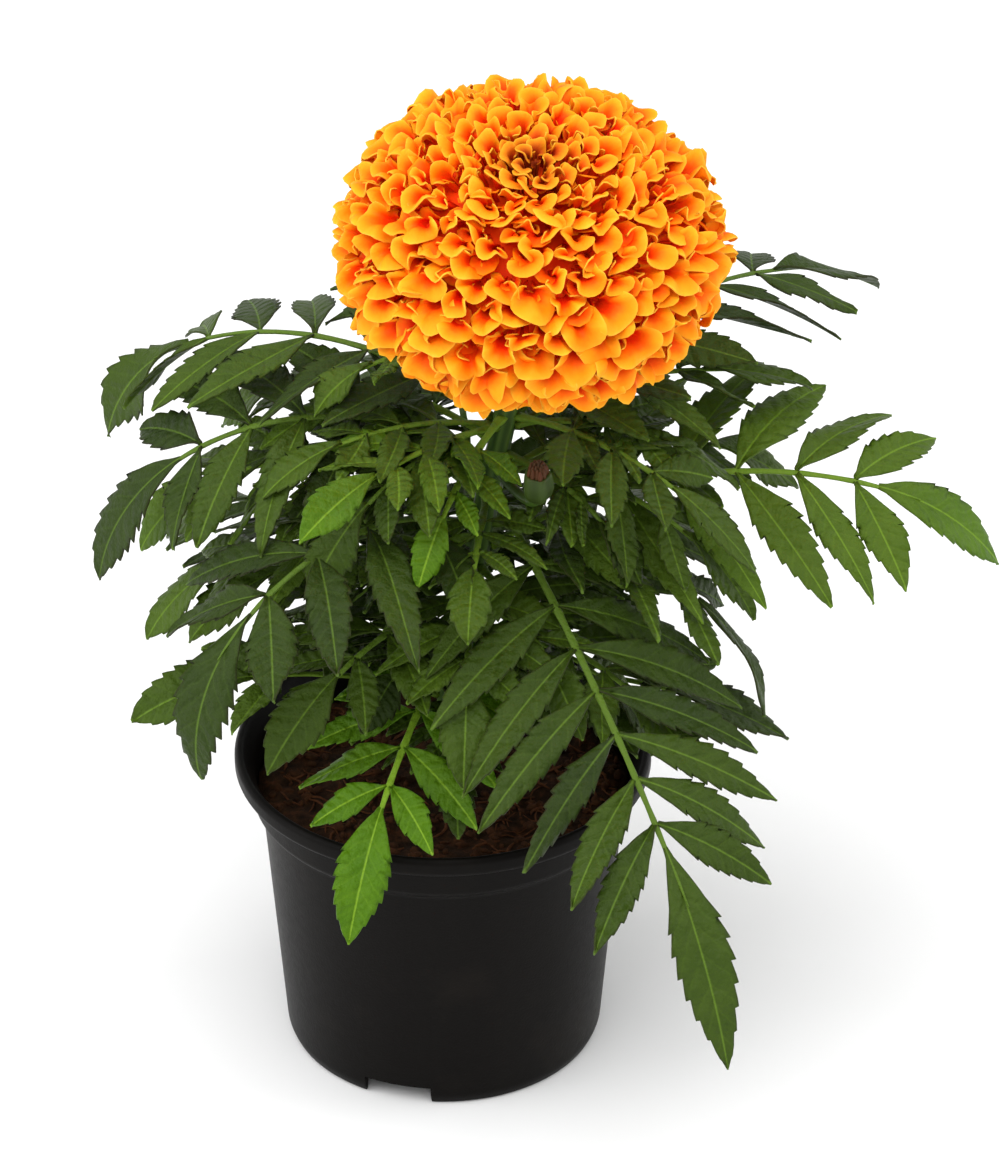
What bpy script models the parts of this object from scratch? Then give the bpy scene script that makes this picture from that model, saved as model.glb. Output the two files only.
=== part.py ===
"""Potted African marigold: one full pompon bloom on a leafy stem, in a 12 cm nursery pot.

Metres, +Z up. The pot's axis is Z, its foot stands on z = 0, and the photograph looks along +Y.
"""

import math
import random
from collections import namedtuple

import bmesh
import bpy
from mathutils import Matrix, Vector, noise

GAP = 0.0003
SEED = 7

# Pot
POT_STEPS = 32
POT_HEIGHT = 0.095
WALL = 0.0012
RIM_RADIUS = 0.0603
LIP_WIDTH = 0.0029
LIP_HEIGHT = 0.0056
BAND_RADIUS = 0.0557
BAND_FOOT_Z = 0.0795
BODY_TOP_RADIUS = 0.0526
BODY_TOP_Z = 0.0778
BASE_RADIUS = 0.0462
BASE_ROUND = 0.0026
FLOOR_Z = 0.0066
FOOT_RING_WIDTH = 0.0024
PAD_RADIUS = 0.0170
PAD_SLANT = 0.0012
NOTCH_WIDTH = 0.0200
NOTCH_HEIGHT = 0.0058
NOTCH_AZIMUTHS = (-107.0, 13.0, 133.0)
DRAIN_RADIUS = 0.0042
DRAIN_RING_RADIUS = 0.0310
DRAIN_COUNT = 6

# Potting soil
SOIL_TOP_Z = 0.0825
SOIL_RELIEF = 0.0018
STEM_HOLE_RADIUS = 0.0056
STEM_HOLE_FOOT_Z = 0.0450

# Stem, calyx and side shoot
STEM_SIDES_RESOLUTION = 2
STEM_FOOT_RADIUS = 0.0046
STEM_NECK_RADIUS = 0.0032
STEM_POINTS = 9
CALYX_RADIUS = 0.0100
CALYX_LENGTH = 0.0200
CALYX_STEPS = 14
SHOOT_RADIUS = 0.0017
SHOOT_FORK_Z = 0.190
SHOOT_SAG = 0.0030
BUD_RADIUS = 0.0045
BUD_LENGTH = 0.0110
BUD_TIP_LENGTH = 0.0050
BUD_STEPS = 10
BUD_BASE = Vector((0.0270, -0.0330, 0.1980))

# Bloom
BLOOM_CENTRE = Vector((0.0250, -0.0090, 0.2655))
BLOOM_TILT = math.radians(14.0)
BLOOM_LEAN = math.radians(2.0)
BLOOM_RADIUS = 0.0545
BLOOM_HALF_HEIGHT = 0.0375
BLOOM_DIMPLE = 0.0050
CORE_RADIUS = 0.0330
CORE_HALF_HEIGHT = 0.0190
RAYS_A_RING = 20
FIRST_RAY_LATITUDE = -46.0
RING_STEPS = (16.5, 16.0, 15.5, 15.0, 14.0, 13.0, 12.0, 11.0, 10.0)
POLE_RAYS = 10
RAY_ROOT_SHARE = 0.45
RAY_WIDTH_SHARE = 0.86
RAY_THICKNESS = 0.0011
RAY_LIFT = 0.0042
RAY_CURL = 0.0022
RAY_SAG = math.radians(5.0)

# Leaves
BLADE_THICKNESS = 0.0007
RACHIS_THICKNESS = 0.0017
RACHIS_HALF_WIDTH = 0.0012
STALK = 0.0100
STALK_SHARE = 0.08
TIP_STALK = 0.0070
LEAFLET_ANGLES = (math.radians(74.0), math.radians(55.0))
LEAFLET_FILL = 0.88
LEAFLET_NECK = 0.0011
LEAFLET_SICKLE = 0.10
LEAFLET_TEETH = 2
NOTCH_DEPTH = 0.26
TIP_BREADTH = 1.45
BLADE_SAG = 2.6

# One pinnate leaf. height is where it leaves the stem, azimuth is measured from +X towards +Y,
# length runs from the stem to the tip of the end leaflet, rise and droop are its slope at both ends,
# and roll turns its blade about its own rachis. leaflet is the longest side leaflet, tip the end one.
# Angles are in degrees and sizes in millimetres.
Leaf = namedtuple("Leaf", "name height azimuth length rise droop roll pairs leaflet tip width")

LEAVES = (
    Leaf("leaf_right", 164, 0, 160, 36, -38, 22, 6, 46, 46, 14),
    Leaf("leaf_front_right", 182, -60, 178, -28, -50, 0, 7, 50, 64, 13),
    Leaf("leaf_front", 134, -110, 104, -4, -52, 0, 4, 32, 40, 12),
    Leaf("leaf_left", 192, 180, 140, 36, -76, -18, 5, 42, 50, 14),
    Leaf("leaf_front_left", 172, -140, 140, 36, -80, 0, 4, 46, 56, 14),
    Leaf("leaf_back_left", 205, 155, 150, 30, -60, 0, 5, 40, 50, 14),
    Leaf("leaf_high_back_left", 217, 120, 95, 15, -25, 0, 3, 30, 32, 12),
    Leaf("leaf_back_right", 206, 38, 142, 30, -35, 0, 5, 40, 46, 14),
    Leaf("leaf_upper_right", 203, 18, 92, 25, -32, 0, 3, 33, 36, 13),
    Leaf("leaf_upper_front_right", 207, -28, 84, 4, -48, 0, 3, 26, 34, 12),
    Leaf("leaf_young_left", 204, -138, 74, 12, -22, 0, 3, 26, 30, 10),
    Leaf("leaf_young_front", 207, -116, 60, -4, -50, 0, 3, 18, 22, 8),
    Leaf("leaf_arched", 220, -175, 62, 40, -65, 0, 2, 15, 24, 8),
    Leaf("leaf_mid_front", 158, -92, 80, 6, -45, 0, 3, 28, 32, 12),
    Leaf("leaf_mid_front_left", 148, -132, 86, 12, -40, 0, 3, 32, 36, 12),
    Leaf("leaf_mid_front_right", 144, -40, 90, 10, -38, 0, 3, 32, 36, 12),
    Leaf("leaf_low_left", 114, -170, 92, 25, -20, 0, 3, 34, 38, 13),
    Leaf("leaf_low_right", 118, -12, 96, 20, -30, 0, 3, 34, 38, 13),
    Leaf("leaf_low_back_left", 138, 140, 124, 30, -45, 0, 4, 42, 46, 14),
    Leaf("leaf_low_back_right", 134, 45, 120, 30, -45, 0, 4, 42, 44, 14),
    Leaf("leaf_back", 164, 95, 144, 30, -50, 0, 5, 42, 48, 14),
    Leaf("leaf_upper_back", 190, 75, 120, 30, -45, 0, 4, 38, 42, 13),
    Leaf("leaf_inner_left", 162, -168, 88, 20, -46, 0, 3, 32, 36, 12),
)


def clear_scene():
    for old in list(bpy.data.objects):
        bpy.data.objects.remove(old, do_unlink=True)


def collection_named(name):
    collection = bpy.data.collections.new(name)
    bpy.context.scene.collection.children.link(collection)
    return collection


def finish(name, colour, roughness):
    """A Principled material of one colour."""
    material = bpy.data.materials.new(name)
    material.use_nodes = True
    shader = material.node_tree.nodes["Principled BSDF"]
    shader.inputs["Base Color"].default_value = (*colour, 1.0)
    shader.inputs["Roughness"].default_value = roughness
    shader.inputs["Metallic"].default_value = 0.0
    return material


def put(collection, name, mesh, material=None):
    piece = bpy.data.objects.new(name, mesh)
    collection.objects.link(piece)
    if material:
        mesh.materials.append(material)
    return piece


def bake(piece, smooth=True):
    """The piece with its modifiers applied, as one mesh with its normals out."""
    bpy.context.view_layer.update()
    graph = bpy.context.evaluated_depsgraph_get()
    mesh = bpy.data.meshes.new_from_object(piece.evaluated_get(graph))
    piece.modifiers.clear()
    shape = bmesh.new()
    shape.from_mesh(mesh)
    bmesh.ops.remove_doubles(shape, verts=shape.verts, dist=1e-6)
    bmesh.ops.recalc_face_normals(shape, faces=shape.faces)
    shape.to_mesh(mesh)
    shape.free()
    piece.data = mesh
    if smooth:
        mesh.shade_smooth()
    return piece


def turned(collection, name, outline, steps, material=None):
    """A body turned about Z from an outline of (radius, height) points that starts and ends on the axis."""
    mesh = bpy.data.meshes.new(name)
    edges = [(index, index + 1) for index in range(len(outline) - 1)]
    mesh.from_pydata([(radius, 0.0, height) for radius, height in outline], edges, [])
    piece = put(collection, name, mesh, material)
    turn = piece.modifiers.new("turn", "SCREW")
    turn.axis = "Z"
    turn.steps = steps
    turn.render_steps = steps
    turn.use_merge_vertices = True
    turn.merge_threshold = 1e-5
    return bake(piece)


def combine(piece, other, operation):
    """Cuts or joins other into piece."""
    boolean = piece.modifiers.new(operation.lower(), "BOOLEAN")
    boolean.operation = operation
    boolean.solver = "EXACT"
    boolean.object = other
    return bake(piece)


def heading(azimuth):
    """The level direction at an azimuth in degrees from +X."""
    angle = math.radians(azimuth)
    return Vector((math.cos(angle), math.sin(angle), 0.0))


def pot_outline():
    """The pot's section: pad, foot ring, body, band and lip outside, then back down the inside."""
    lip_foot_z = POT_HEIGHT - LIP_HEIGHT
    lip_inner = RIM_RADIUS - LIP_WIDTH
    ring_inner = BASE_RADIUS - FOOT_RING_WIDTH
    inside_floor_z = FLOOR_Z + WALL
    return [
        (0.0, 0.0),
        (PAD_RADIUS, 0.0),
        (PAD_RADIUS + PAD_SLANT, FLOOR_Z),
        (ring_inner - 0.0012, FLOOR_Z),
        (ring_inner, 0.0),
        (BASE_RADIUS - 0.0012, 0.0),
        (BASE_RADIUS, BASE_ROUND),
        (BODY_TOP_RADIUS, BODY_TOP_Z),
        (BAND_RADIUS - 0.0004, BAND_FOOT_Z),
        (BAND_RADIUS + 0.0003, lip_foot_z),
        (RIM_RADIUS - 0.0008, lip_foot_z),
        (RIM_RADIUS, lip_foot_z + 0.0010),
        (RIM_RADIUS, POT_HEIGHT - 0.0010),
        (RIM_RADIUS - 0.0009, POT_HEIGHT),
        (lip_inner + 0.0007, POT_HEIGHT),
        (lip_inner, POT_HEIGHT - 0.0008),
        (BAND_RADIUS - WALL, lip_foot_z - 0.0004),
        (BAND_RADIUS - WALL - 0.0006, BAND_FOOT_Z + 0.0004),
        (BODY_TOP_RADIUS - WALL, BODY_TOP_Z - 0.0006),
        (BASE_RADIUS - WALL + 0.0002, inside_floor_z + 0.0006),
        (PAD_RADIUS + PAD_SLANT - WALL, inside_floor_z),
        (PAD_RADIUS - WALL, WALL),
        (0.0, WALL),
    ]


def box_cutter(cutters, name, size, matrix):
    shape = bmesh.new()
    bmesh.ops.create_cube(shape, size=1.0, matrix=matrix @ Matrix.Diagonal((*size, 1.0)))
    mesh = bpy.data.meshes.new(name)
    shape.to_mesh(mesh)
    shape.free()
    return put(cutters, name, mesh)


def drain_cutter(cutters, name, place):
    shape = bmesh.new()
    bmesh.ops.create_cone(
        shape,
        cap_ends=True,
        segments=8,
        radius1=DRAIN_RADIUS,
        radius2=DRAIN_RADIUS,
        depth=6 * WALL,
        matrix=Matrix.Translation(place),
    )
    mesh = bpy.data.meshes.new(name)
    shape.to_mesh(mesh)
    shape.free()
    return put(cutters, name, mesh)


def make_pot(plant, cutters):
    plastic = finish("pot_plastic", (0.012, 0.011, 0.010), 0.42)
    pot = turned(plant, "pot", pot_outline(), POT_STEPS, plastic)
    for number, azimuth in enumerate(NOTCH_AZIMUTHS):
        turn = Matrix.Rotation(math.radians(azimuth), 4, "Z")
        place = turn @ Matrix.Translation((BASE_RADIUS, 0.0, 0.0))
        size = (0.016, NOTCH_WIDTH, 2 * NOTCH_HEIGHT)
        combine(pot, box_cutter(cutters, f"notch_cutter_{number}", size, place), "DIFFERENCE")
    for number in range(DRAIN_COUNT):
        place = heading(360.0 * (number + 0.5) / DRAIN_COUNT) * DRAIN_RING_RADIUS
        place.z = FLOOR_Z + WALL / 2
        combine(pot, drain_cutter(cutters, f"drain_cutter_{number}", place), "DIFFERENCE")
    return pot


def soil_outline():
    """The soil's section, from the foot of the stem's hole over the top and down inside the pot's wall."""
    inset = WALL + GAP + 0.0002
    floor_z = FLOOR_Z + WALL + GAP
    tops = [(radius, SOIL_TOP_Z) for radius in (0.0120, 0.0210, 0.0310, 0.0410, 0.0490)]
    return [
        (0.0, STEM_HOLE_FOOT_Z),
        (STEM_HOLE_RADIUS, STEM_HOLE_FOOT_Z),
        (STEM_HOLE_RADIUS, SOIL_TOP_Z),
        *tops,
        (BAND_RADIUS - inset - 0.0008, SOIL_TOP_Z - 0.0012),
        (BAND_RADIUS - inset - 0.0012, BAND_FOOT_Z + 0.0006),
        (BODY_TOP_RADIUS - inset - 0.0002, BODY_TOP_Z - 0.0012),
        (BASE_RADIUS - inset, floor_z + 0.0008),
        (PAD_RADIUS + PAD_SLANT - inset, floor_z),
        (PAD_RADIUS - inset, WALL + GAP),
        (0.0, WALL + GAP),
    ]


def make_soil(plant):
    compost = finish("soil", (0.030, 0.014, 0.007), 0.95)
    soil = turned(plant, "potting_soil", soil_outline(), POT_STEPS, compost)
    for vertex in soil.data.vertices:
        radius = vertex.co.xy.length
        if vertex.co.z > SOIL_TOP_Z - 0.0005 and STEM_HOLE_RADIUS + 0.001 < radius:
            vertex.co.z += SOIL_RELIEF * noise.noise(vertex.co * 110.0)
    return soil


def bloom_matrix():
    """Stands the bloom, modelled about the origin, on its tilted neck."""
    tilt = Matrix.Rotation(BLOOM_TILT, 4, "X")
    lean = Matrix.Rotation(BLOOM_LEAN, 4, "Y")
    return Matrix.Translation(BLOOM_CENTRE) @ lean @ tilt


def bloom_foot():
    """How far the bloom's flat underside lies below its centre, along its axis."""
    return -CORE_HALF_HEIGHT * math.sin(math.radians(FIRST_RAY_LATITUDE))


def neck_end():
    """The foot of the calyx, where the stem's neck ends."""
    return bloom_matrix() @ Vector((0.0, 0.0, -bloom_foot() - GAP - CALYX_LENGTH))


def stem_centre(height):
    """The stem's centre line: upright in the soil, then leaning towards the bloom."""
    end = neck_end()
    share = max(0.0, (height - SOIL_TOP_Z) / (end.z - SOIL_TOP_Z))
    return Vector((end.x * share**1.4, end.y * share, height))


def stem_radius(height):
    share = (height - STEM_HOLE_FOOT_Z) / (neck_end().z - STEM_HOLE_FOOT_Z)
    return STEM_FOOT_RADIUS + (STEM_NECK_RADIUS - STEM_FOOT_RADIUS) * share


def tube(collection, name, points, radii, material=None):
    """A round stalk through the points, closed at both ends."""
    curve = bpy.data.curves.new(name, "CURVE")
    curve.dimensions = "3D"
    curve.bevel_depth = 1.0
    curve.bevel_resolution = STEM_SIDES_RESOLUTION
    curve.use_fill_caps = True
    spline = curve.splines.new("POLY")
    spline.points.add(len(points) - 1)
    for knot, point, radius in zip(spline.points, points, radii):
        knot.co = (*point, 1.0)
        knot.radius = radius
    guide = bpy.data.objects.new(name, curve)
    collection.objects.link(guide)
    bpy.context.view_layer.update()
    graph = bpy.context.evaluated_depsgraph_get()
    mesh = bpy.data.meshes.new_from_object(guide.evaluated_get(graph))
    bpy.data.objects.remove(guide, do_unlink=True)
    return bake(put(collection, name, mesh, material))


def calyx_outline():
    return [
        (0.0, -0.0040),
        (STEM_NECK_RADIUS * 0.8, -0.0040),
        (STEM_NECK_RADIUS * 1.3, 0.0),
        (CALYX_RADIUS * 0.74, CALYX_LENGTH * 0.30),
        (CALYX_RADIUS, CALYX_LENGTH * 0.72),
        (CALYX_RADIUS * 0.92, CALYX_LENGTH),
        (0.0, CALYX_LENGTH),
    ]


def bud_outline():
    return [
        (0.0, -0.0020),
        (SHOOT_RADIUS * 0.7, -0.0020),
        (SHOOT_RADIUS * 1.5, 0.0),
        (BUD_RADIUS, BUD_LENGTH * 0.40),
        (BUD_RADIUS * 0.80, BUD_LENGTH),
        (0.0, BUD_LENGTH),
    ]


def bud_tip_outline():
    foot = BUD_LENGTH + GAP
    return [
        (0.0, foot),
        (BUD_RADIUS * 0.70, foot),
        (BUD_RADIUS * 0.62, foot + BUD_TIP_LENGTH * 0.55),
        (BUD_RADIUS * 0.30, foot + BUD_TIP_LENGTH),
        (0.0, foot + BUD_TIP_LENGTH * 0.92),
    ]


def bud_matrix():
    return Matrix.Translation(BUD_BASE) @ Matrix.Rotation(math.radians(18.0), 4, "X")


def make_stem(plant, cutters):
    """Main stem, calyx, side shoot and the bud's green cup, grown as one."""
    green = finish("stem_green", (0.110, 0.200, 0.030), 0.50)
    foot = STEM_HOLE_FOOT_Z + GAP
    step = (neck_end().z - foot) / (STEM_POINTS - 1)
    heights = [foot + step * number for number in range(STEM_POINTS)]
    centres = [stem_centre(height) for height in heights]
    stem = tube(plant, "stem", centres, [stem_radius(height) for height in heights], green)
    calyx = turned(cutters, "calyx", calyx_outline(), CALYX_STEPS)
    calyx_drop = bloom_foot() + GAP + CALYX_LENGTH
    calyx.data.transform(bloom_matrix() @ Matrix.Translation((0.0, 0.0, -calyx_drop)))
    fork = stem_centre(SHOOT_FORK_Z)
    sag = Vector((0.0, 0.0, -SHOOT_SAG))
    shoot_path = [fork, fork.lerp(BUD_BASE, 0.4) + sag, fork.lerp(BUD_BASE, 0.8) + sag, BUD_BASE]
    shoot = tube(cutters, "side_shoot", shoot_path, [SHOOT_RADIUS] * len(shoot_path))
    bud_cup = turned(cutters, "bud_cup", bud_outline(), BUD_STEPS)
    bud_cup.data.transform(bud_matrix())
    for grown in (calyx, shoot, bud_cup):
        combine(stem, grown, "UNION")
    return stem


def make_bud_petals(plant):
    red = finish("bud_red", (0.130, 0.030, 0.008), 0.60)
    bud = turned(plant, "bud_petals", bud_tip_outline(), BUD_STEPS, red)
    bud.data.transform(bud_matrix())
    return bud


def spheroid(radius, half_height, latitude, longitude):
    """A point of the bloom's spheroid, with the shallow dimple over its pole."""
    level = radius * math.cos(latitude)
    from_pole = (math.pi / 2 - latitude) / math.radians(24.0)
    height = half_height * math.sin(latitude) - BLOOM_DIMPLE * math.exp(-from_pole * from_pole)
    return Vector((level * math.cos(longitude), level * math.sin(longitude), height))


def ring_latitudes():
    """Latitudes between the rings of rays, from the underside to the pole."""
    latitudes = [FIRST_RAY_LATITUDE]
    for step in RING_STEPS:
        latitudes.append(latitudes[-1] + step)
    return [math.radians(latitude) for latitude in (*latitudes, 90.0)]


def latitude_of(point):
    return math.asin(max(-1.0, min(1.0, point.z / point.length)))


def longitude_of(point):
    return math.atan2(point.y, point.x)


def unit_point(latitude, longitude):
    level = math.cos(latitude)
    return Vector((level * math.cos(longitude), level * math.sin(longitude), math.sin(latitude)))


def ray_numbers(shape, rings):
    """Each face's ring and ray: two faces a ray, staggered like bricks, and four a ray round the pole."""
    ray_of = {}
    for face in shape.faces:
        middle = face.calc_center_median()
        ring = int((latitude_of(middle) / math.pi + 0.5) * rings)
        column = int((longitude_of(middle) / math.tau % 1.0) * 2 * RAYS_A_RING)
        if ring == rings - 1:
            ray = column * POLE_RAYS // (2 * RAYS_A_RING)
        else:
            ray = ((column + ring) // 2) % RAYS_A_RING
        ray_of[face] = (ring, ray)
    return ray_of


def bloom_cells():
    """A unit sphere whose faces above the underside are the cells that the rays grow from."""
    latitudes = ring_latitudes()
    rings = len(latitudes)
    shape = bmesh.new()
    bmesh.ops.create_uvsphere(shape, u_segments=2 * RAYS_A_RING, v_segments=rings, radius=1.0)
    ray_of = ray_numbers(shape, rings)
    underside = {face for face, (ring, _) in ray_of.items() if ring == 0}
    inner_edges = []
    for edge in shape.edges:
        rays = {ray_of[face] for face in edge.link_faces}
        if len(rays) == 1 and not underside & set(edge.link_faces):
            inner_edges.append(edge)
    for vertex in shape.verts:
        level = round((latitude_of(vertex.co) / math.pi + 0.5) * rings)
        latitude = latitudes[max(level - 1, 0)]
        vertex.co = unit_point(latitude, longitude_of(vertex.co))
    bmesh.ops.dissolve_edges(shape, edges=inner_edges, use_verts=False)
    bmesh.ops.delete(shape, geom=list(underside), context="FACES")
    rim = [edge for edge in shape.edges if edge.is_boundary]
    bmesh.ops.holes_fill(shape, edges=rim, sides=0)
    return shape


def ray_cell(face):
    """A cell's latitude, longitude, half storey and half turn, and each corner's (side, storey) on it."""
    latitudes = [latitude_of(vertex.co) for vertex in face.verts]
    low, high = min(latitudes), max(latitudes)
    at_pole = high > math.radians(89.0)
    longitude = longitude_of(face.calc_center_median())
    half_turn = math.pi / (POLE_RAYS if at_pole else RAYS_A_RING)
    corners = []
    for vertex, latitude in zip(face.verts, latitudes):
        turn = (longitude_of(vertex.co) - longitude + math.pi) % math.tau - math.pi
        step = round(turn * RAYS_A_RING / math.pi)
        upper = latitude > (low + high) / 2
        if at_pole:
            side = 0 if upper else max(-1, min(1, step))
            upper = upper or abs(step) == 2
        else:
            side = step
        corners.append((side, 1 if upper else -1))
    return (low + high) / 2, longitude, (high - low) / 2, half_turn, corners


def grow_ray(shape, face, draw):
    """Raises one ray floret from its cell: a claw on the core that opens into a channelled lip."""
    latitude, longitude, half_storey, half_turn, corners = ray_cell(face)
    bmesh.ops.inset_individual(shape, faces=[face], thickness=0.001)
    for loop, (side, storey) in zip(face.loops, corners):
        loop.vert.co = spheroid(
            CORE_RADIUS,
            CORE_HALF_HEIGHT,
            latitude + storey * half_storey * RAY_ROOT_SHARE,
            longitude + side * half_turn * RAY_ROOT_SHARE,
        )
    lip = bmesh.ops.extrude_discrete_faces(shape, faces=[face])["faces"][0]
    reach = 1.0 + draw.uniform(-0.045, 0.045)
    lip_latitude = latitude - RAY_SAG * math.cos(latitude) + draw.uniform(-0.02, 0.02)
    tip = spheroid(BLOOM_RADIUS * reach, BLOOM_HALF_HEIGHT * reach, lip_latitude, longitude)
    east = Vector((-math.sin(longitude), math.cos(longitude), 0.0))
    above = spheroid(BLOOM_RADIUS, BLOOM_HALF_HEIGHT, lip_latitude + 0.05, longitude)
    below = spheroid(BLOOM_RADIUS, BLOOM_HALF_HEIGHT, lip_latitude - 0.05, longitude)
    north = (above - below).normalized()
    outward = east.cross(north)
    level = BLOOM_RADIUS * math.cos(lip_latitude)
    lift = min(RAY_LIFT, level * half_turn * 0.7) * draw.uniform(0.7, 1.15)
    half_width = (level - lift * max(0.0, math.sin(lip_latitude))) * half_turn * RAY_WIDTH_SHARE
    curl = min(RAY_CURL, half_width * 0.5)
    for loop, (side, storey) in zip(lip.loops, corners):
        rise = abs(side) * lift + storey * RAY_THICKNESS / 2
        loop.vert.co = tip + east * side * half_width + north * rise - outward * abs(side) * curl


def make_bloom(plant):
    """All ray florets of the head, grown from one low core."""
    draw = random.Random(SEED)
    shape = bloom_cells()
    base = list(shape.verts)
    cells = [face for face in shape.faces if len(face.verts) == 6]
    cells.sort(key=lambda face: tuple(round(share, 3) for share in ray_cell(face)[:2]))
    for face in cells:
        grow_ray(shape, face, draw)
    for vertex in base:
        vertex.co = spheroid(CORE_RADIUS, CORE_HALF_HEIGHT, latitude_of(vertex.co), longitude_of(vertex.co))
    shape.normal_update()
    bmesh.ops.triangulate(shape, faces=shape.faces)
    shape.transform(bloom_matrix())
    mesh = bpy.data.meshes.new("bloom")
    shape.to_mesh(mesh)
    shape.free()
    return put(plant, "bloom", mesh, finish("petal_orange", (0.900, 0.300, 0.010), 0.55))


def leaflet_share(place):
    """Half width of a leaflet at a share of its length, against its widest."""
    return math.sin(math.pi * place**0.82) ** 0.85


def leaflet_edge(length, width):
    """One saw-toothed edge of a leaflet from its neck to just before its tip, as (along, across) points."""
    edge = []
    for tooth in range(LEAFLET_TEETH):
        crest = (tooth + 0.9) / (LEAFLET_TEETH + 0.7)
        notch = crest + 0.025
        edge.append((crest * length, width / 2 * leaflet_share(crest)))
        edge.append((notch * length, width / 2 * leaflet_share(notch) * (1.0 - NOTCH_DEPTH)))
    return edge


def leaflet_outline(base, angle, side, length, width):
    """The leaflet's outline on the flat leaf, from its edge nearer the stem round its tip."""
    edge = leaflet_edge(length, width)
    near = [(along, -across) for along, across in edge]
    far = [(along, across) for along, across in reversed(edge)]
    axis = Vector((math.cos(angle), side * math.sin(angle)))
    cross = Vector((math.sin(angle), -side * math.cos(angle)))
    outline = []
    for along, across in [*near, (length, 0.0), *far]:
        sickle = LEAFLET_SICKLE * length * (along / length) ** 2 if angle else 0.0
        outline.append(base + axis * along + cross * (across + sickle))
    return outline


def leaflet_pairs(leaf):
    """For each pair of leaflets: its place along the rachis, its length, its width and its angle."""
    first = STALK + STALK_SHARE * leaf.length / 1000
    last = (leaf.length - leaf.tip) / 1000 - TIP_STALK
    spacing = (last - first) / (leaf.pairs - 1)
    pairs = []
    for number in range(leaf.pairs):
        share = number / (leaf.pairs - 1)
        size = leaf.leaflet / 1000 * (0.66 + 0.34 * math.sin(math.pi * (0.2 + 0.75 * share)))
        angle = LEAFLET_ANGLES[0] + (LEAFLET_ANGLES[1] - LEAFLET_ANGLES[0]) * share
        width = min(leaf.width / 1000, spacing * math.sin(angle) * LEAFLET_FILL)
        pairs.append((first + spacing * number, size, width, angle))
    return pairs


def flat_leaf(leaf):
    """The leaf laid flat as one sheet: x runs along the rachis, y across it. Rachis corners are weighted."""
    shape = bmesh.new()
    weights = shape.verts.layers.deform.new()
    length = leaf.length / 1000
    rachis_end = (leaf.length - leaf.tip) / 1000
    pairs = leaflet_pairs(leaf)

    def corner(along, across, weight):
        vertex = shape.verts.new((along, across, 0.0))
        vertex[weights][0] = weight
        return vertex

    def station(along):
        half = RACHIS_HALF_WIDTH * (1.0 - 0.45 * along / length)
        return corner(along, -half, 1.0), corner(along, half, 1.0)

    def blade(first, outline, last):
        shape.faces.new([first, *[corner(*point, 0.0) for point in outline], last])

    stations = [station(0.0), station(pairs[0][0] / 2)]
    for along, size, width, angle in pairs:
        before, after = station(along - LEAFLET_NECK), station(along + LEAFLET_NECK)
        stations += [before, after]
        for row, side in enumerate((-1, 1)):
            base = Vector((along, before[row].co.y))
            blade(before[row], leaflet_outline(base, angle, side, size, width), after[row])
    tip_foot = station(rachis_end)
    stations.append(tip_foot)
    end = Vector((rachis_end, 0.0))
    tip_width = leaf.width / 1000 * TIP_BREADTH
    blade(tip_foot[1], leaflet_outline(end, 0.0, 1, length - rachis_end, tip_width), tip_foot[0])
    for here, there in zip(stations, stations[1:]):
        shape.faces.new((here[0], there[0], there[1], here[1]))
    shape.normal_update()
    bmesh.ops.triangulate(shape, faces=shape.faces)
    bmesh.ops.recalc_face_normals(shape, faces=shape.faces)
    return shape


def leaf_frame(leaf, along):
    """Place and axes (centre, left, up) of the arching rachis at a distance along it."""
    length = leaf.length / 1000
    rise, droop = math.radians(leaf.rise), math.radians(leaf.droop)
    bend = (droop - rise) / length
    pitch = rise + bend * along
    level = (math.sin(pitch) - math.sin(rise)) / bend
    climb = (math.cos(rise) - math.cos(pitch)) / bend
    out = heading(leaf.azimuth)
    height = leaf.height / 1000
    start = stem_radius(height) + 2 * GAP + RACHIS_THICKNESS / 2 * abs(math.sin(rise))
    centre = stem_centre(height) + out * (start + level) + Vector((0.0, 0.0, climb))
    ahead = out * math.cos(pitch) + Vector((0.0, 0.0, math.sin(pitch)))
    left = Vector((-out.y, out.x, 0.0))
    up = ahead.cross(left)
    roll = math.radians(leaf.roll) * min(1.0, along / (0.3 * length))
    return centre, left * math.cos(roll) + up * math.sin(roll), up * math.cos(roll) - left * math.sin(roll)


def make_leaf(plant, leaf, material):
    """One pinnate leaf: a flat sheet bent along its arching rachis, then given its thickness."""
    shape = flat_leaf(leaf)
    for vertex in shape.verts:
        centre, left, up = leaf_frame(leaf, vertex.co.x)
        across = vertex.co.y
        vertex.co = centre + left * across - up * BLADE_SAG * across * across
    mesh = bpy.data.meshes.new(leaf.name)
    shape.to_mesh(mesh)
    shape.free()
    piece = put(plant, leaf.name, mesh, material)
    piece.vertex_groups.new(name="rachis")
    solid = piece.modifiers.new("thickness", "SOLIDIFY")
    solid.thickness = RACHIS_THICKNESS
    solid.offset = 0.0
    solid.vertex_group = "rachis"
    solid.thickness_vertex_group = BLADE_THICKNESS / RACHIS_THICKNESS
    return bake(piece, smooth=False)


def main():
    clear_scene()
    plant = collection_named("potted_african_marigold")
    cutters = collection_named("cutters")
    cutters.hide_render = True
    make_pot(plant, cutters)
    make_soil(plant)
    make_stem(plant, cutters)
    make_bud_petals(plant)
    make_bloom(plant)
    for leaf in LEAVES:
        make_leaf(plant, leaf, finish(leaf.name, (0.045, 0.120, 0.018), 0.50))
    for cutter in cutters.objects:
        cutter.hide_render = True
        cutter.display_type = "WIRE"


main()
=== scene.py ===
"""Looks of the potted African marigold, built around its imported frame.

Metres, +Z up. The pot's foot stands on z = 0 and the photograph looks along +Y.
"""

from collections import namedtuple
from math import cos, degrees, exp, hypot, pi, radians, sin, sqrt, tau
from random import Random

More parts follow.
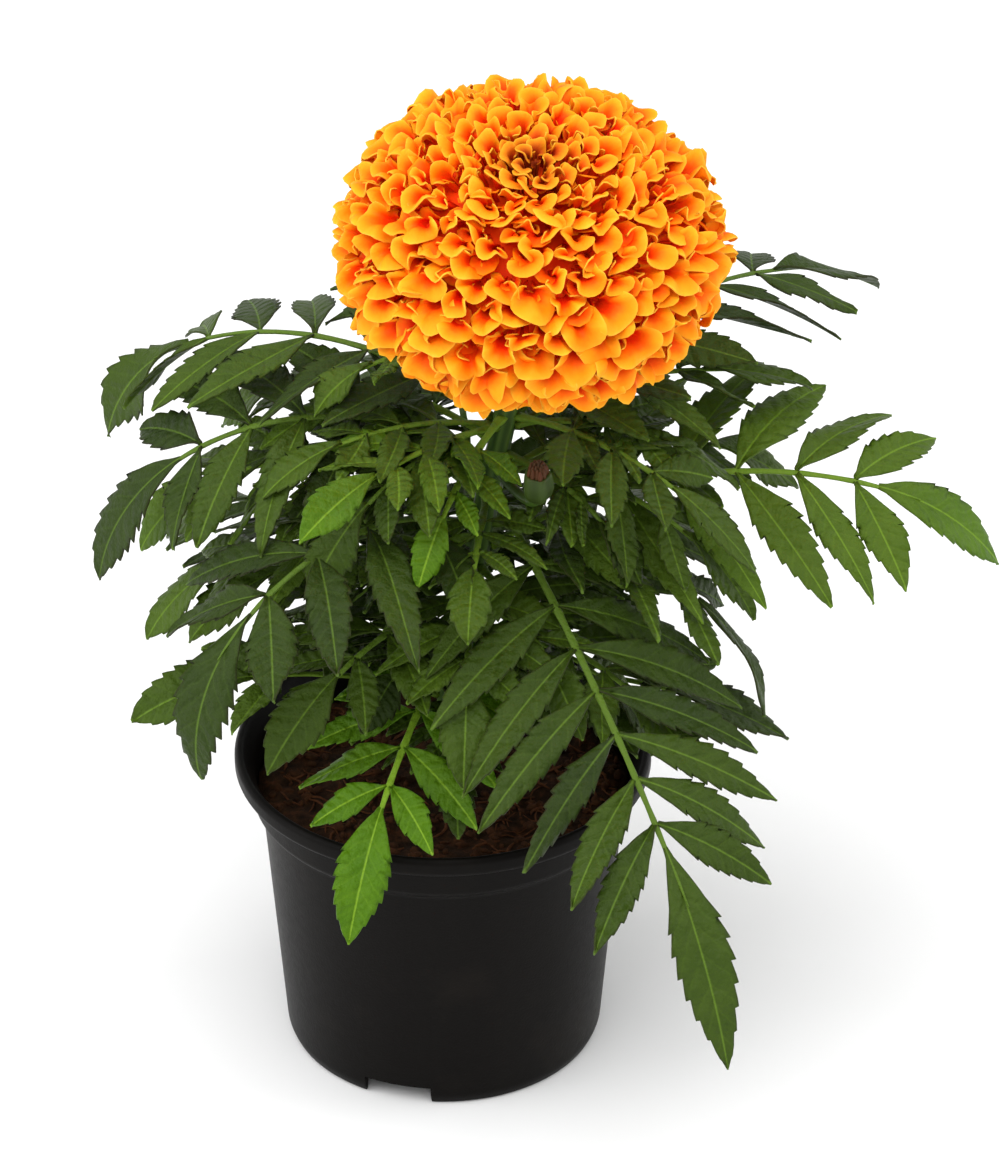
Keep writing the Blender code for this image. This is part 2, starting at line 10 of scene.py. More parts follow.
import bmesh
import bpy
from mathutils import Matrix, Vector, noise


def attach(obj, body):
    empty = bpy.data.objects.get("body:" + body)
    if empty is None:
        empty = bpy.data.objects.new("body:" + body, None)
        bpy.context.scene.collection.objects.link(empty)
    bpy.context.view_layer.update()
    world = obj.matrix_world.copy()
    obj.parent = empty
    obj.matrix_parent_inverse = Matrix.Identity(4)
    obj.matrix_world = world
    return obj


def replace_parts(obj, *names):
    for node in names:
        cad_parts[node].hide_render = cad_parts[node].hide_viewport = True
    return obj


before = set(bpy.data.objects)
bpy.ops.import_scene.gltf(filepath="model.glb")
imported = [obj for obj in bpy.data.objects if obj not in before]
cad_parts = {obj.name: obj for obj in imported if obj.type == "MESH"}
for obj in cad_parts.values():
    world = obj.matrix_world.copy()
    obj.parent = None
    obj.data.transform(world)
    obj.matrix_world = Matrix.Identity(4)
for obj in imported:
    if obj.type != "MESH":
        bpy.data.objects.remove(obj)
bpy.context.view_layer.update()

SEED = 11

# Pot, as in the frame
POT_STEPS = 144
POT_HEIGHT = 0.095
WALL = 0.0012
RIM_RADIUS = 0.0603
LIP_WIDTH = 0.0029
LIP_HEIGHT = 0.0056
BAND_RADIUS = 0.0557
BAND_FOOT_Z = 0.0795
BODY_TOP_RADIUS = 0.0526
BODY_TOP_Z = 0.0778
BASE_RADIUS = 0.0462
BASE_ROUND = 0.0026
FLOOR_Z = 0.0066
FOOT_RING_WIDTH = 0.0024
PAD_RADIUS = 0.017
PAD_SLANT = 0.0012
NOTCH_WIDTH = 0.02
NOTCH_HEIGHT = 0.0058
NOTCH_DEPTH = 0.016
NOTCH_AZIMUTHS = (-107.0, 13.0, 133.0)
DRAIN_RADIUS = 0.0042
DRAIN_RING_RADIUS = 0.031
DRAIN_COUNT = 6
FOOT_SLANT = 0.0012
LIP_ROUND = 0.001
EDGE_EASE = 0.0004
CORNER_CUT = 0.0019
CORNER_POINTS = 5

# Potting soil
SOIL_TOP_Z = 0.0825
SOIL_RELIEF = 0.0016
SOIL_GRAIN = 0.0009
SOIL_RINGS = 46
SOIL_SPOKES = 150
SOIL_FOOT_Z = 0.0745
SOIL_CLEARANCE = 0.0008
SOIL_WALL = BAND_RADIUS - WALL - SOIL_CLEARANCE
SOIL_MIDDLE_RADIUS = 0.003
SOIL_EDGE_WIDTH = 0.004
SOIL_EDGE_DIP = 0.0012
LOOSE_FROM = 0.007
CRUMBS = 520
CRUMB_MARGIN = 0.002
FIBRES = 210
FIBRE_MARGIN = 0.006
FIBRE_LIFT = 0.0005

# Stem, calyx, side shoot and bud. An outline's pairs are shares of its part's radius and length.
Ribs = namedtuple("Ribs", "count depth points age")
GAP = 0.0003
STEM_FOOT_Z = 0.045
STEM_FOOT_RADIUS = 0.0046
STEM_NECK_RADIUS = 0.0032
STEM_RIBS = Ribs(7, 0.1, 6, 0.4)
STEM_STEPS = 70
SWOLLEN_JOINTS = 8
SWELL = 0.1
SWELL_MOST = 1.12
SWELL_REACH = 0.0022
CALYX_RADIUS = 0.01
CALYX_LENGTH = 0.02
CALYX_RIBS = Ribs(9, 0.12, 6, 0.6)
CALYX_OUTLINE = (
    (0.36, 0.0), (0.5, 0.08), (0.74, 0.26), (0.9, 0.46), (1.0, 0.7),
    (1.0, 0.84), (0.97, 0.95), (0.8, 0.99), (0.4, 0.95),
)
SHOOT_RADIUS = 0.0017
SHOOT_FORK_Z = 0.19
SHOOT_SAG = 0.003
BUD_RADIUS = 0.0045
BUD_LENGTH = 0.011
BUD_TIP_LENGTH = 0.005
BUD_RIBS = Ribs(5, 0.14, 8, 0.8)
BUD_OUTLINE = (
    (0.34, -0.08), (0.5, 0.0), (0.86, 0.2), (1.0, 0.45),
    (0.97, 0.7), (0.86, 0.92), (0.78, 1.0), (0.6, 0.97),
)
BUD_FLORETS = 26
BUD_BASE = Vector((0.027, -0.033, 0.198))
BUD_TILT = radians(18.0)

# Bloom
BLOOM_CENTRE = Vector((0.025, -0.009, 0.2655))
BLOOM_TILT = radians(14.0)
BLOOM_LEAN = radians(2.0)
BLOOM_RADIUS = 0.0545
BLOOM_HALF_HEIGHT = 0.0375
BLOOM_DIMPLE = 0.005
BLOOM_TOP_Z = 0.3018
BLOOM_TOP_PRESS = 0.7
LOOSE_REACH = 0.99
LOOSE_SHARE = 0.62
CORE_RADIUS = 0.033
CORE_HALF_HEIGHT = 0.019
RECEPTACLE_RADIUS = 0.0445
RECEPTACLE_HALF_HEIGHT = 0.028
FIRST_RAY_LATITUDE = radians(-46.0)
FIRST_FLORET_LATITUDE = radians(-42.0)
LAST_LATITUDE = radians(88.0)
LOWER_SHARE = 0.46
FLORET_SPACING = (0.003, 0.0087)
FLORET_GROWTH_ANGLE = radians(30.0)
FLORET_SCROLL = radians(166.0)
GOLDEN_ANGLE = radians(137.508)
RAY_SAG = radians(5.0)
RAY_THICKNESS = 0.0004
RAY_WANDER = 0.18
RAY_TILT = 0.16
RAY_ROWS = (0.0, 0.28, 0.46, 0.6, 0.71, 0.8, 0.88, 0.95, 1.0)

# Leaves
BLADE_THICKNESS = 0.0005
RACHIS_RADII = (0.0012, 0.00065)
RACHIS_SIDES = 8
RACHIS_STEPS = 26
RACHIS_START = -0.0012
RACHIS_CLASP = 0.55
RACHIS_JOINT = 0.32
RACHIS_TAPER_FROM = 0.9
RACHIS_DROP = 0.0002
INNER_LEAVES = 21
INNER_HEIGHTS = (112.0, 204.0)
STALK = 0.01
STALK_SHARE = 0.08
TIP_STALK = 0.007
STEEP_LEAF_GAP = 0.00085
ROLL_SHARE = 0.3
LEAFLET_ANGLES = (radians(74.0), radians(55.0))
LEAFLET_LEAST = 0.66
LEAFLET_FILL = 1.04
LEAFLET_WIDEST = 0.46
LEAFLET_GROWTH = 1.08
LEAFLET_NECK = 0.0007
LEAFLET_SICKLE = 0.13
LEAFLET_SHADES = 0.13
LEAFLET_BASE = 0.0007
LEAFLET_CUP = 18.0
MIDRIB_DEPTH = 0.00022
MIDRIB_REACH = 0.0006
TOOTH_SPACING = 0.0056
TOOTH_COUNTS = (4, 7)
FIRST_TOOTH = 0.26
LAST_TOOTH = 0.95
TOOTH_DEPTH = 0.17
TOOTH_REACH = 0.0014
TOOTH_SLANT = 0.92
NECK_ROWS = (0.0, 0.05, 0.1, 0.16, 0.21)
BLADE_COLUMNS = (-1.0, -0.72, -0.42, -0.12, 0.0, 0.12, 0.42, 0.72, 1.0)
TIP_BREADTH = 1.36
TIP_TURN = 0.75
TIP_YOUTH = 0.3
YOUNG_AGE = 0.4
BLADE_SAG = 2.6

# One leaf, in degrees and millimetres. height is where it leaves the stem, azimuth runs from +X to +Y, rise
# and droop are its slope at both ends, and roll turns its blade about its rachis. leaflet is the longest
# side leaflet, tip the end one. age is 0 on an old dark leaf and 1 on a young bright one.
Leaf = namedtuple("Leaf", "name height azimuth length rise droop roll pairs leaflet tip width age")

LEAVES = (
    Leaf("leaf_right", 164, 0, 160, 36, -38, 22, 6, 46, 46, 14, 0.45),
    Leaf("leaf_front_right", 182, -60, 178, -28, -50, 0, 7, 50, 64, 13, 0.12),
    Leaf("leaf_front", 134, -110, 104, -4, -52, 0, 4, 32, 40, 12, 0.95),
    Leaf("leaf_left", 192, 180, 140, 36, -76, -18, 5, 42, 50, 14, 0.1),
    Leaf("leaf_front_left", 172, -140, 140, 36, -80, 0, 4, 46, 56, 14, 0.05),
    Leaf("leaf_back_left", 205, 155, 150, 30, -60, 0, 5, 40, 50, 14, 0.15),
    Leaf("leaf_high_back_left", 217, 120, 95, 15, -25, 0, 3, 30, 32, 12, 0.2),
    Leaf("leaf_back_right", 206, 38, 142, 30, -35, 0, 5, 40, 46, 14, 0.05),
    Leaf("leaf_upper_right", 203, 18, 92, 25, -32, 0, 3, 33, 36, 13, 0.25),
    Leaf("leaf_upper_front_right", 207, -28, 84, 4, -48, 0, 3, 26, 34, 12, 0.35),
    Leaf("leaf_young_left", 204, -138, 74, 12, -22, 0, 3, 26, 30, 10, 0.6),
    Leaf("leaf_young_front", 207, -116, 60, -4, -50, 0, 3, 18, 22, 8, 0.7),
    Leaf("leaf_arched", 220, -175, 62, 40, -65, 0, 2, 15, 24, 8, 0.4),
    Leaf("leaf_mid_front", 158, -92, 80, 6, -45, 0, 3, 28, 32, 12, 0.3),
    Leaf("leaf_mid_front_left", 148, -132, 86, 12, -40, 0, 3, 32, 36, 12, 0.2),
    Leaf("leaf_mid_front_right", 144, -40, 90, 10, -38, 0, 3, 32, 36, 12, 0.25),
    Leaf("leaf_low_left", 114, -170, 92, 25, -20, 0, 3, 34, 38, 13, 0.4),
    Leaf("leaf_low_right", 118, -12, 96, 20, -30, 0, 3, 34, 38, 13, 0.15),
    Leaf("leaf_low_back_left", 138, 140, 124, 30, -45, 0, 4, 42, 46, 14, 0.1),
    Leaf("leaf_low_back_right", 134, 45, 120, 30, -45, 0, 4, 42, 44, 14, 0.1),
    Leaf("leaf_back", 164, 95, 144, 30, -50, 0, 5, 42, 48, 14, 0.2),
    Leaf("leaf_upper_back", 190, 75, 120, 30, -45, 0, 4, 38, 42, 13, 0.15),
    Leaf("leaf_inner_left", 162, -168, 88, 20, -46, 0, 3, 32, 36, 12, 0.3),
)

# Leaves of side shoots, which fill the plant behind the leaves above
SHOOT_LEAVES = (
    Leaf("shoot_left", 176, 172, 112, 34, -60, -8, 4, 34, 36, 12, 0.48),
    Leaf("shoot_low_left", 160, -174, 104, 32, -58, 8, 3, 34, 36, 12, 0.4),
    Leaf("shoot_back_left", 198, 150, 100, 22, -48, 0, 3, 34, 36, 12, 0.42),
    Leaf("shoot_right", 186, 20, 98, 20, -50, 0, 3, 34, 36, 12, 0.22),
    Leaf("shoot_front_right", 192, -18, 88, 6, -62, 6, 3, 30, 34, 11, 0.3),
    Leaf("shoot_high_left", 204, -162, 72, 18, -34, 0, 3, 24, 28, 10, 0.35),
    Leaf("shoot_high_right", 204, -6, 68, 12, -42, 0, 3, 24, 28, 10, 0.3),
    Leaf("shoot_back", 154, 108, 90, 10, -45, 0, 3, 32, 34, 12, 0.25),
    Leaf("shoot_back_right", 146, 72, 88, 8, -45, 0, 3, 32, 34, 12, 0.25),
    Leaf("shoot_low_back", 132, 132, 82, 10, -40, 0, 3, 30, 32, 12, 0.2),
)

# Stage, camera and light. Each light has its name, place, size and power.
FLOOR_REACH = 8.0
FLOOR_DROP = 0.0002
LIGHTS = (
    ("top_light", (-0.2, -0.5, 1.4), 1.6, 19.0),
    ("left_light", (-1.25, -0.3, 0.55), 0.8, 5.0),
    ("right_light", (1.25, 0.1, 0.6), 0.8, 5.0),
)
LIGHT_TARGET = Vector((0.015, 0.0, 0.15))
SHOT_ELEVATION = radians(32.0)
SHOT_DISTANCE = 2.0
SHOT_TARGET = Vector((0.0165, 0.0, 0.095))
SHOT_RISE = 0.0463
SHOT_LENS = 249.0


class Sheet:
    """Small grids of points for one mesh, each point with four marks for its material."""

    def __init__(self):
        self.points = []
        self.marks = []
        self.faces = []

    def grid(self, rows, closed=False):
        """Adds rows of (point, marks) as quads. Closed ones are rings, with a face over each end."""
        first = len(self.points)
        width = len(rows[0])
        for row in rows:
            for point, marks in row:
                self.points.append(point)
                self.marks.append(marks)
        for row in range(len(rows) - 1):
            for column in range(width if closed else width - 1):
                here = first + row * width + column
                beside = first + row * width + (column + 1) % width
                self.faces.append((here, beside, beside + width, here + width))
        if closed:
            self.faces.append(tuple(reversed(range(first, first + width))))
            last = first + (len(rows) - 1) * width
            self.faces.append(tuple(range(last, last + width)))

    def mesh(self):
        mesh = bpy.data.meshes.new("sheet")
        mesh.from_pydata(self.points, [], self.faces)
        layer = mesh.color_attributes.new("marks", "FLOAT_COLOR", "POINT")
        layer.data.foreach_set("color", [value for marks in self.marks for value in marks])
        return mesh


def heading(azimuth):
    """The level direction at an azimuth in degrees from +X."""
    angle = radians(azimuth)
    return Vector((cos(angle), sin(angle), 0.0))


def ease(low, high, value):
    """0 up to low, 1 from high, and a soft rise between them."""
    share = max(0.0, min(1.0, (value - low) / (high - low)))
    return share * share * (3.0 - 2.0 * share)


def bell(distance, reach):
    """1 at no distance, falling softly to 0 past the reach."""
    return exp(-((distance / reach) ** 2))


def between(ends, share):
    """The value at a share of the way from the first end to the second."""
    return ends[0] + (ends[1] - ends[0]) * share


def mesh_from(shape):
    """A mesh of the bmesh, which is freed."""
    mesh = bpy.data.meshes.new("solid")
    shape.to_mesh(mesh)
    shape.free()
    return mesh


def added(name, data):
    thing = bpy.data.objects.new(name, data)
    bpy.context.scene.collection.objects.link(thing)
    return thing


def piece_of(mesh, name, material):
    mesh.name = name
    mesh.materials.append(material)
    return added(name, mesh)


def bake(piece):
    """The piece with its modifiers applied, smooth, with its normals out."""
    bpy.context.view_layer.update()
    graph = bpy.context.evaluated_depsgraph_get()
    mesh = bpy.data.meshes.new_from_object(piece.evaluated_get(graph))
    piece.modifiers.clear()
    shape = bmesh.new()
    shape.from_mesh(mesh)
    bmesh.ops.recalc_face_normals(shape, faces=shape.faces)
    shape.to_mesh(mesh)
    shape.free()
    mesh.shade_smooth()
    piece.data = mesh
    return piece


def thicken(piece, thickness):
    """The piece's open blades made solid, half to each side."""
    solid = piece.modifiers.new("thickness", "SOLIDIFY")
    solid.thickness = thickness
    solid.offset = 0.0
    return bake(piece)


def settle(piece, node):
    """The piece rides on the body, and stands for its CAD node."""
    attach(piece, "root")
    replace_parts(piece, node)


def add_solid(sheet, name, material, node):
    """A smooth piece of a closed sheet, settled for its CAD node."""
    settle(bake(piece_of(sheet.mesh(), name, material)), node)


# Materials


class Finish:
    """A Principled material with short calls for the nodes that drive it."""

    def __init__(self, name, roughness, specular=0.5):
        self.material = bpy.data.materials.new(name)
        self.material.use_nodes = True
        self.tree = self.material.node_tree
        self.shader = self.tree.nodes["Principled BSDF"]
        self.shader.inputs["Roughness"].default_value = roughness
        self.shader.inputs["Specular IOR Level"].default_value = specular

    def node(self, kind, inputs=None, **settings):
        """A new node with these inputs, each a value or another node's output."""
        node = self.tree.nodes.new("ShaderNode" + kind)
        for name, value in settings.items():
            setattr(node, name, value)
        for name, value in (inputs or {}).items():
            self.feed(node.inputs[name], value)
        return node

    def feed(self, socket, value):
        if isinstance(value, bpy.types.NodeSocket):
            self.tree.links.new(value, socket)
        else:
            socket.default_value = value

    def place(self):
        return self.node("TexCoord").outputs["Object"]

    def lengthwise(self, share):
        """The place with its height scaled, which stretches a grain along Z."""
        inputs = {"Vector": self.place(), "Scale": (1.0, 1.0, share)}
        return self.node("Mapping", inputs).outputs["Vector"]

    def grain(self, scale, detail=4.0, vector=None, roughness=0.55):
        inputs = {"Scale": scale, "Detail": detail, "Roughness": roughness, "Vector": vector or self.place()}
        return self.node("TexNoise", inputs).outputs["Fac"]

    def math(self, operation, first, second=0.0):
        node = self.node("Math", operation=operation)
        self.feed(node.inputs[0], first)
        self.feed(node.inputs[1], second)
        return node.outputs[0]

    def times(self, first, second):
        return self.math("MULTIPLY", first, second)

    def ramp(self, factor, *stops):
        """A colour ramp through (position, colour) stops."""
        node = self.node("ValToRGB", {"Fac": factor})
        elements = node.color_ramp.elements
        while len(elements) < len(stops):
            elements.new(1.0)
        for element, (position, colour) in zip(elements, stops):
            element.position = position
            element.color = (*colour, 1.0)
        return node.outputs["Color"]

    def level(self, factor, low, high, from_low=0.0, from_high=1.0):
        """The factor from from_low to from_high spread over low to high."""
        inputs = {"Value": factor, "From Min": from_low, "From Max": from_high, "To Min": low, "To Max": high}
        return self.node("MapRange", inputs, clamp=True).outputs["Result"]

    def mix(self, factor, first, second, blend="MIX"):
        node = self.node("Mix", data_type="RGBA", blend_type=blend)
        colours = [socket for socket in node.inputs if socket.type == "RGBA"]
        self.feed(node.inputs["Factor"], factor)
        for socket, colour in zip(colours, (first, second)):
            self.feed(socket, colour if isinstance(colour, bpy.types.NodeSocket) else (*colour, 1.0))
        return next(socket for socket in node.outputs if socket.type == "RGBA")

    def marks(self):
        """The four marks of each point."""
        read = self.node("Attribute", attribute_name="marks")
        split = self.node("SeparateColor", {"Color": read.outputs["Color"]})
        return (*split.outputs, read.outputs["Alpha"])

    def colour(self, colour):
        self.feed(self.shader.inputs["Base Color"], colour)

    def roughness(self, factor, low, high):
        self.feed(self.shader.inputs["Roughness"], self.level(factor, low, high))

    def bump(self, height, distance):
        inputs = {"Height": height, "Distance": distance, "Strength": 1.0}
        self.feed(self.shader.inputs["Normal"], self.node("Bump", inputs).outputs["Normal"])


def plastic_finish():
    """Black plastic: faint lighter stripes down the wall, partly flow marks and partly painted highlight, a
    fine satin grain and a little dust.
    """
    look = Finish("pot_black_plastic", 0.42, 0.06)
    # Lighter vertical stripes in the base colour: partly flow marks, partly painted highlight.
    streaks_and_painted_highlight = look.grain(60.0, 3.0, look.lengthwise(0.06))
    dust = look.grain(35.0, 6.0)
    base = look.mix(streaks_and_painted_highlight, (0.0024, 0.0019, 0.0016), (0.005, 0.0042, 0.0034))
    look.colour(look.mix(look.level(dust, 0.0, 0.35, 0.55, 0.8), base, (0.018, 0.014, 0.01)))
    look.roughness(look.grain(420.0, 3.0), 0.36, 0.5)
    look.bump(look.grain(1500.0, 2.0), 0.00006)
    return look.material


def soil_finish(name, dark, light):
    """Compost: dark crumbs with reddish bark and a few pale specks."""
    look = Finish(name, 0.95, 0.15)
    coarse = look.grain(240.0, 8.0, roughness=0.7)
    fine = look.grain(900.0, 5.0)
    base = look.ramp(coarse, (0.3, dark), (0.52, light), (0.7, (0.12, 0.042, 0.016)))
    shade = look.ramp(look.level(fine, 0.45, 1.25), (0.0, (0.3, 0.3, 0.3)), (1.0, (1.0, 1.0, 1.0)))
    look.colour(look.mix(1.0, base, shade, "MULTIPLY"))
    look.bump(look.math("ADD", coarse, look.times(fine, 0.4)), 0.0008)
    return look.material


def stem_finish():
    """Ribbed green stem: pale along its ribs, faintly streaked, and olive at the bud's cup."""
    look = Finish("stem_green", 0.48, 0.2)
    rib, _, _, age = look.marks()
    olive = look.level(age, 0.0, 1.0, 0.65, 0.8)
    streak = look.grain(300.0, 4.0, look.lengthwise(0.08))
    green = look.mix(rib, (0.022, 0.058, 0.006), (0.07, 0.14, 0.016))
    streaked = look.mix(look.level(streak, 0.0, 0.5, 0.4, 0.8), green, (0.06, 0.105, 0.018))
    look.colour(look.mix(look.times(olive, 0.75), streaked, (0.022, 0.034, 0.005)))
    look.roughness(streak, 0.38, 0.55)
    look.bump(streak, 0.0002)
    return look.material


def leaf_finish():
    """Leaf: dark to bright green by age, with a pale midrib, faint veins and an uneven sheen."""
    look = Finish("leaf_green", 0.5, 0.14)
    rib, along, edge, age = look.marks()
    patch = look.grain(90.0, 5.0)
    old = look.mix(patch, (0.011, 0.024, 0.002), (0.031, 0.054, 0.006))
    middle = look.mix(patch, (0.044, 0.09, 0.004), (0.088, 0.148, 0.011))
    young = look.mix(patch, (0.04, 0.118, 0.001), (0.098, 0.212, 0.005))
    lower = look.mix(look.level(age, 0.0, 1.0, 0.0, 0.5), old, middle)
    blade = look.mix(look.level(age, 0.0, 1.0, 0.5, 1.0), lower, young)
    wander = look.times(look.grain(140.0, 2.0), 0.9)
    slant = look.math("SUBTRACT", look.times(along, 8.0), look.times(rib, 1.9))
    wave = look.math("SINE", look.times(look.math("ADD", slant, wander), tau))
    vein = look.level(wave, 0.0, 1.0, 0.8, 1.0)
    rib_colour = look.mix(age, (0.082, 0.145, 0.016), (0.21, 0.37, 0.022))
    margin = look.times(look.level(edge, 0.0, 1.0, 0.72, 1.0), look.level(age, 0.6, 0.0, 0.0, 0.6))
    rimmed = look.mix(margin, blade, (0.022, 0.018, 0.006))
    veined = look.mix(look.times(vein, 0.08), rimmed, rib_colour)
    midrib = look.level(rib, 1.0, 0.0, 0.01, 0.045)
    look.colour(look.mix(look.times(midrib, 0.85), veined, rib_colour))
    look.roughness(patch, 0.34, 0.6)
    wrinkle = look.times(look.grain(380.0, 4.0), 2.2)
    look.bump(look.math("SUBTRACT", wrinkle, look.times(wave, 0.25)), 0.0006)
    return look.material


def petal_finish():
    """Petal: dark red towards its throat, partly its own colour and partly painted shade, golden at its
    margin, browner round the bloom's centre.
    """
    look = Finish("petal_orange", 0.6, 0.1)
    along, side, chance, height = look.marks()
    soft = look.grain(260.0, 3.0)
    place = look.math("ADD", along, look.times(look.math("SUBTRACT", soft, 0.5), 0.16))
    # The ramp's dark red throat end is partly the petal's own colour and partly painted shade between the
    # florets.
    body = look.ramp(
        place,
        (0.15, (0.5, 0.006, 0.001)),
        (0.48, (0.9, 0.024, 0.001)),
        (0.64, (0.95, 0.11, 0.001)),
        (0.78, (0.96, 0.28, 0.003)),
        (0.92, (0.975, 0.41, 0.014)),
        (1.0, (0.985, 0.51, 0.042)),
    )
    warmer = look.mix(look.level(chance, 0.0, 0.25), body, (0.96, 0.2, 0.001))
    near_pole = look.level(height, 0.0, 1.0, 0.91, 0.985)
    centre = look.times(near_pole, look.level(place, 0.85, 0.1, 0.5, 1.0))
    look.colour(look.mix(centre, warmer, (0.14, 0.018, 0.002)))
    look.shader.inputs["Subsurface Weight"].default_value = 0.05
    look.shader.inputs["Subsurface Radius"].default_value = (1.0, 0.35, 0.05)
    look.shader.inputs["Subsurface Scale"].default_value = 0.0012
    lines = look.math("PINGPONG", look.times(side, 9.0), 0.5)
    look.bump(look.math("ADD", look.times(lines, 0.5), soft), 0.00022)
    return look.material


def bud_finish():
    """The bud's closed florets: dull red-brown, redder at their tips."""
    look = Finish("bud_red", 0.6, 0.2)
    soft = look.grain(900.0, 4.0)
    body = look.ramp(look.marks()[0], (0.0, (0.045, 0.018, 0.005)), (1.0, (0.09, 0.016, 0.005)))
    look.colour(look.mix(soft, body, (0.05, 0.026, 0.006)))
    look.bump(soft, 0.0002)
    return look.material


def floor_finish():
    look = Finish("floor_pale", 0.85, 0.05)
    look.colour(look.mix(look.grain(3.0, 2.0), (0.94, 0.94, 0.94), (0.97, 0.97, 0.97)))
    return look.material


# Pot and soil


def rounded(outline):
    """The outline with each corner but its ends cut round."""
    points = [Vector(point) for point in outline]
    curve = [points[0]]
    for before, corner, after in zip(points, points[1:], points[2:]):
        cut = min(CORNER_CUT, (before - corner).length * 0.45, (after - corner).length * 0.45)
        start = corner + (before - corner).normalized() * cut
        end = corner + (after - corner).normalized() * cut
        for number in range(CORNER_POINTS):
            share = number / (CORNER_POINTS - 1)
            curve.append(start.lerp(corner, share).lerp(corner.lerp(end, share), share))
    return [*curve, points[-1]]


def pot_outline():
    """The pot's half section: from the middle of its foot up its outside, then down its inside."""
    lip_foot_z = POT_HEIGHT - LIP_HEIGHT
    lip_inner = RIM_RADIUS - LIP_WIDTH
    ring_inner = BASE_RADIUS - FOOT_RING_WIDTH
    pad_outer = PAD_RADIUS + PAD_SLANT
    band_inner = BAND_RADIUS - WALL
    inside_floor_z = FLOOR_Z + WALL
    return [
        (0.0, 0.0),
        (PAD_RADIUS, 0.0),
        (pad_outer, FLOOR_Z),
        (ring_inner - FOOT_SLANT, FLOOR_Z),
        (ring_inner, 0.0),
        (BASE_RADIUS - FOOT_SLANT, 0.0),
        (BASE_RADIUS, BASE_ROUND),
        (BODY_TOP_RADIUS, BODY_TOP_Z),
        (BAND_RADIUS - EDGE_EASE, BAND_FOOT_Z),
        (BAND_RADIUS + 0.75 * EDGE_EASE, lip_foot_z),
        (RIM_RADIUS - 0.6 * LIP_ROUND, lip_foot_z),
        (RIM_RADIUS, lip_foot_z + LIP_ROUND),
        (RIM_RADIUS, POT_HEIGHT - 1.2 * LIP_ROUND),
        (RIM_RADIUS - LIP_ROUND, POT_HEIGHT),
        (lip_inner + 0.8 * LIP_ROUND, POT_HEIGHT),
        (lip_inner, POT_HEIGHT - LIP_ROUND),
        (band_inner, lip_foot_z - EDGE_EASE),
        (band_inner - 1.5 * EDGE_EASE, BAND_FOOT_Z + EDGE_EASE),
        (BODY_TOP_RADIUS - WALL, BODY_TOP_Z - 1.5 * EDGE_EASE),
        (BASE_RADIUS - WALL + 0.5 * EDGE_EASE, inside_floor_z + 1.5 * EDGE_EASE),
        (pad_outer - WALL, inside_floor_z),
        (PAD_RADIUS - WALL, WALL),
        (0.0, WALL),
    ]


def turned(outline, steps):
    """A closed body turned about Z from an outline that starts and ends on it."""
    shape = bmesh.new()
    points = [shape.verts.new((radius, 0.0, height)) for radius, height in outline]
    edges = [shape.edges.new(pair) for pair in zip(points, points[1:])]
    bmesh.ops.spin(shape, geom=points + edges, axis=(0, 0, 1), angle=tau, steps=steps, use_merge=True)
    bmesh.ops.remove_doubles(shape, verts=shape.verts, dist=1e-6)
    bmesh.ops.recalc_face_normals(shape, faces=shape.faces)
    return mesh_from(shape)


def notch_cutter(azimuth):
    """A block across the pot's foot at an azimuth."""
    turn = Matrix.Rotation(radians(azimuth), 4, "Z") @ Matrix.Translation((BASE_RADIUS, 0.0, 0.0))
    size = Matrix.Diagonal((NOTCH_DEPTH, NOTCH_WIDTH, 2 * NOTCH_HEIGHT, 1.0))
    shape = bmesh.new()
    bmesh.ops.create_cube(shape, size=1.0, matrix=turn @ size)
    return mesh_from(shape)


def drain_cutter(number):
    """A round plug through the pot's floor."""
    low, high = FLOOR_Z - 2.5 * WALL, FLOOR_Z + 3.5 * WALL
    plug = turned([(0.0, low), (DRAIN_RADIUS, low), (DRAIN_RADIUS, high), (0.0, high)], 20)
    plug.transform(Matrix.Translation(heading(360.0 * (number + 0.5) / DRAIN_COUNT) * DRAIN_RING_RADIUS))
    return plug


def make_pot():
    """The pot turned from its section, with its notches and drain holes cut."""
    pot = piece_of(turned(rounded(pot_outline()), POT_STEPS), "pot_fine", plastic_finish())
    cutters = [notch_cutter(azimuth) for azimuth in NOTCH_AZIMUTHS]
    cutters += [drain_cutter(number) for number in range(DRAIN_COUNT)]
    for mesh in cutters:
        cutter = added("cutter", mesh)
        cut = pot.modifiers.new("cut", "BOOLEAN")
        cut.operation = "DIFFERENCE"
        cut.solver = "EXACT"
        cut.object = cutter
        bake(pot)
        bpy.data.objects.remove(cutter, do_unlink=True)
    pot.data.set_sharp_from_angle(angle=radians(50.0))
    settle(pot, "pot")


def soil_height(place):
    """Height of the compost's lumpy surface at a place."""
    lumps = noise.noise(place * 110.0) * SOIL_RELIEF
    clods = noise.noise(place * 330.0 + Vector((3.0, 5.0, 7.0))) * SOIL_GRAIN
    grains = noise.noise(place * 900.0) * SOIL_GRAIN * 0.55
    return SOIL_TOP_Z + lumps + clods + grains


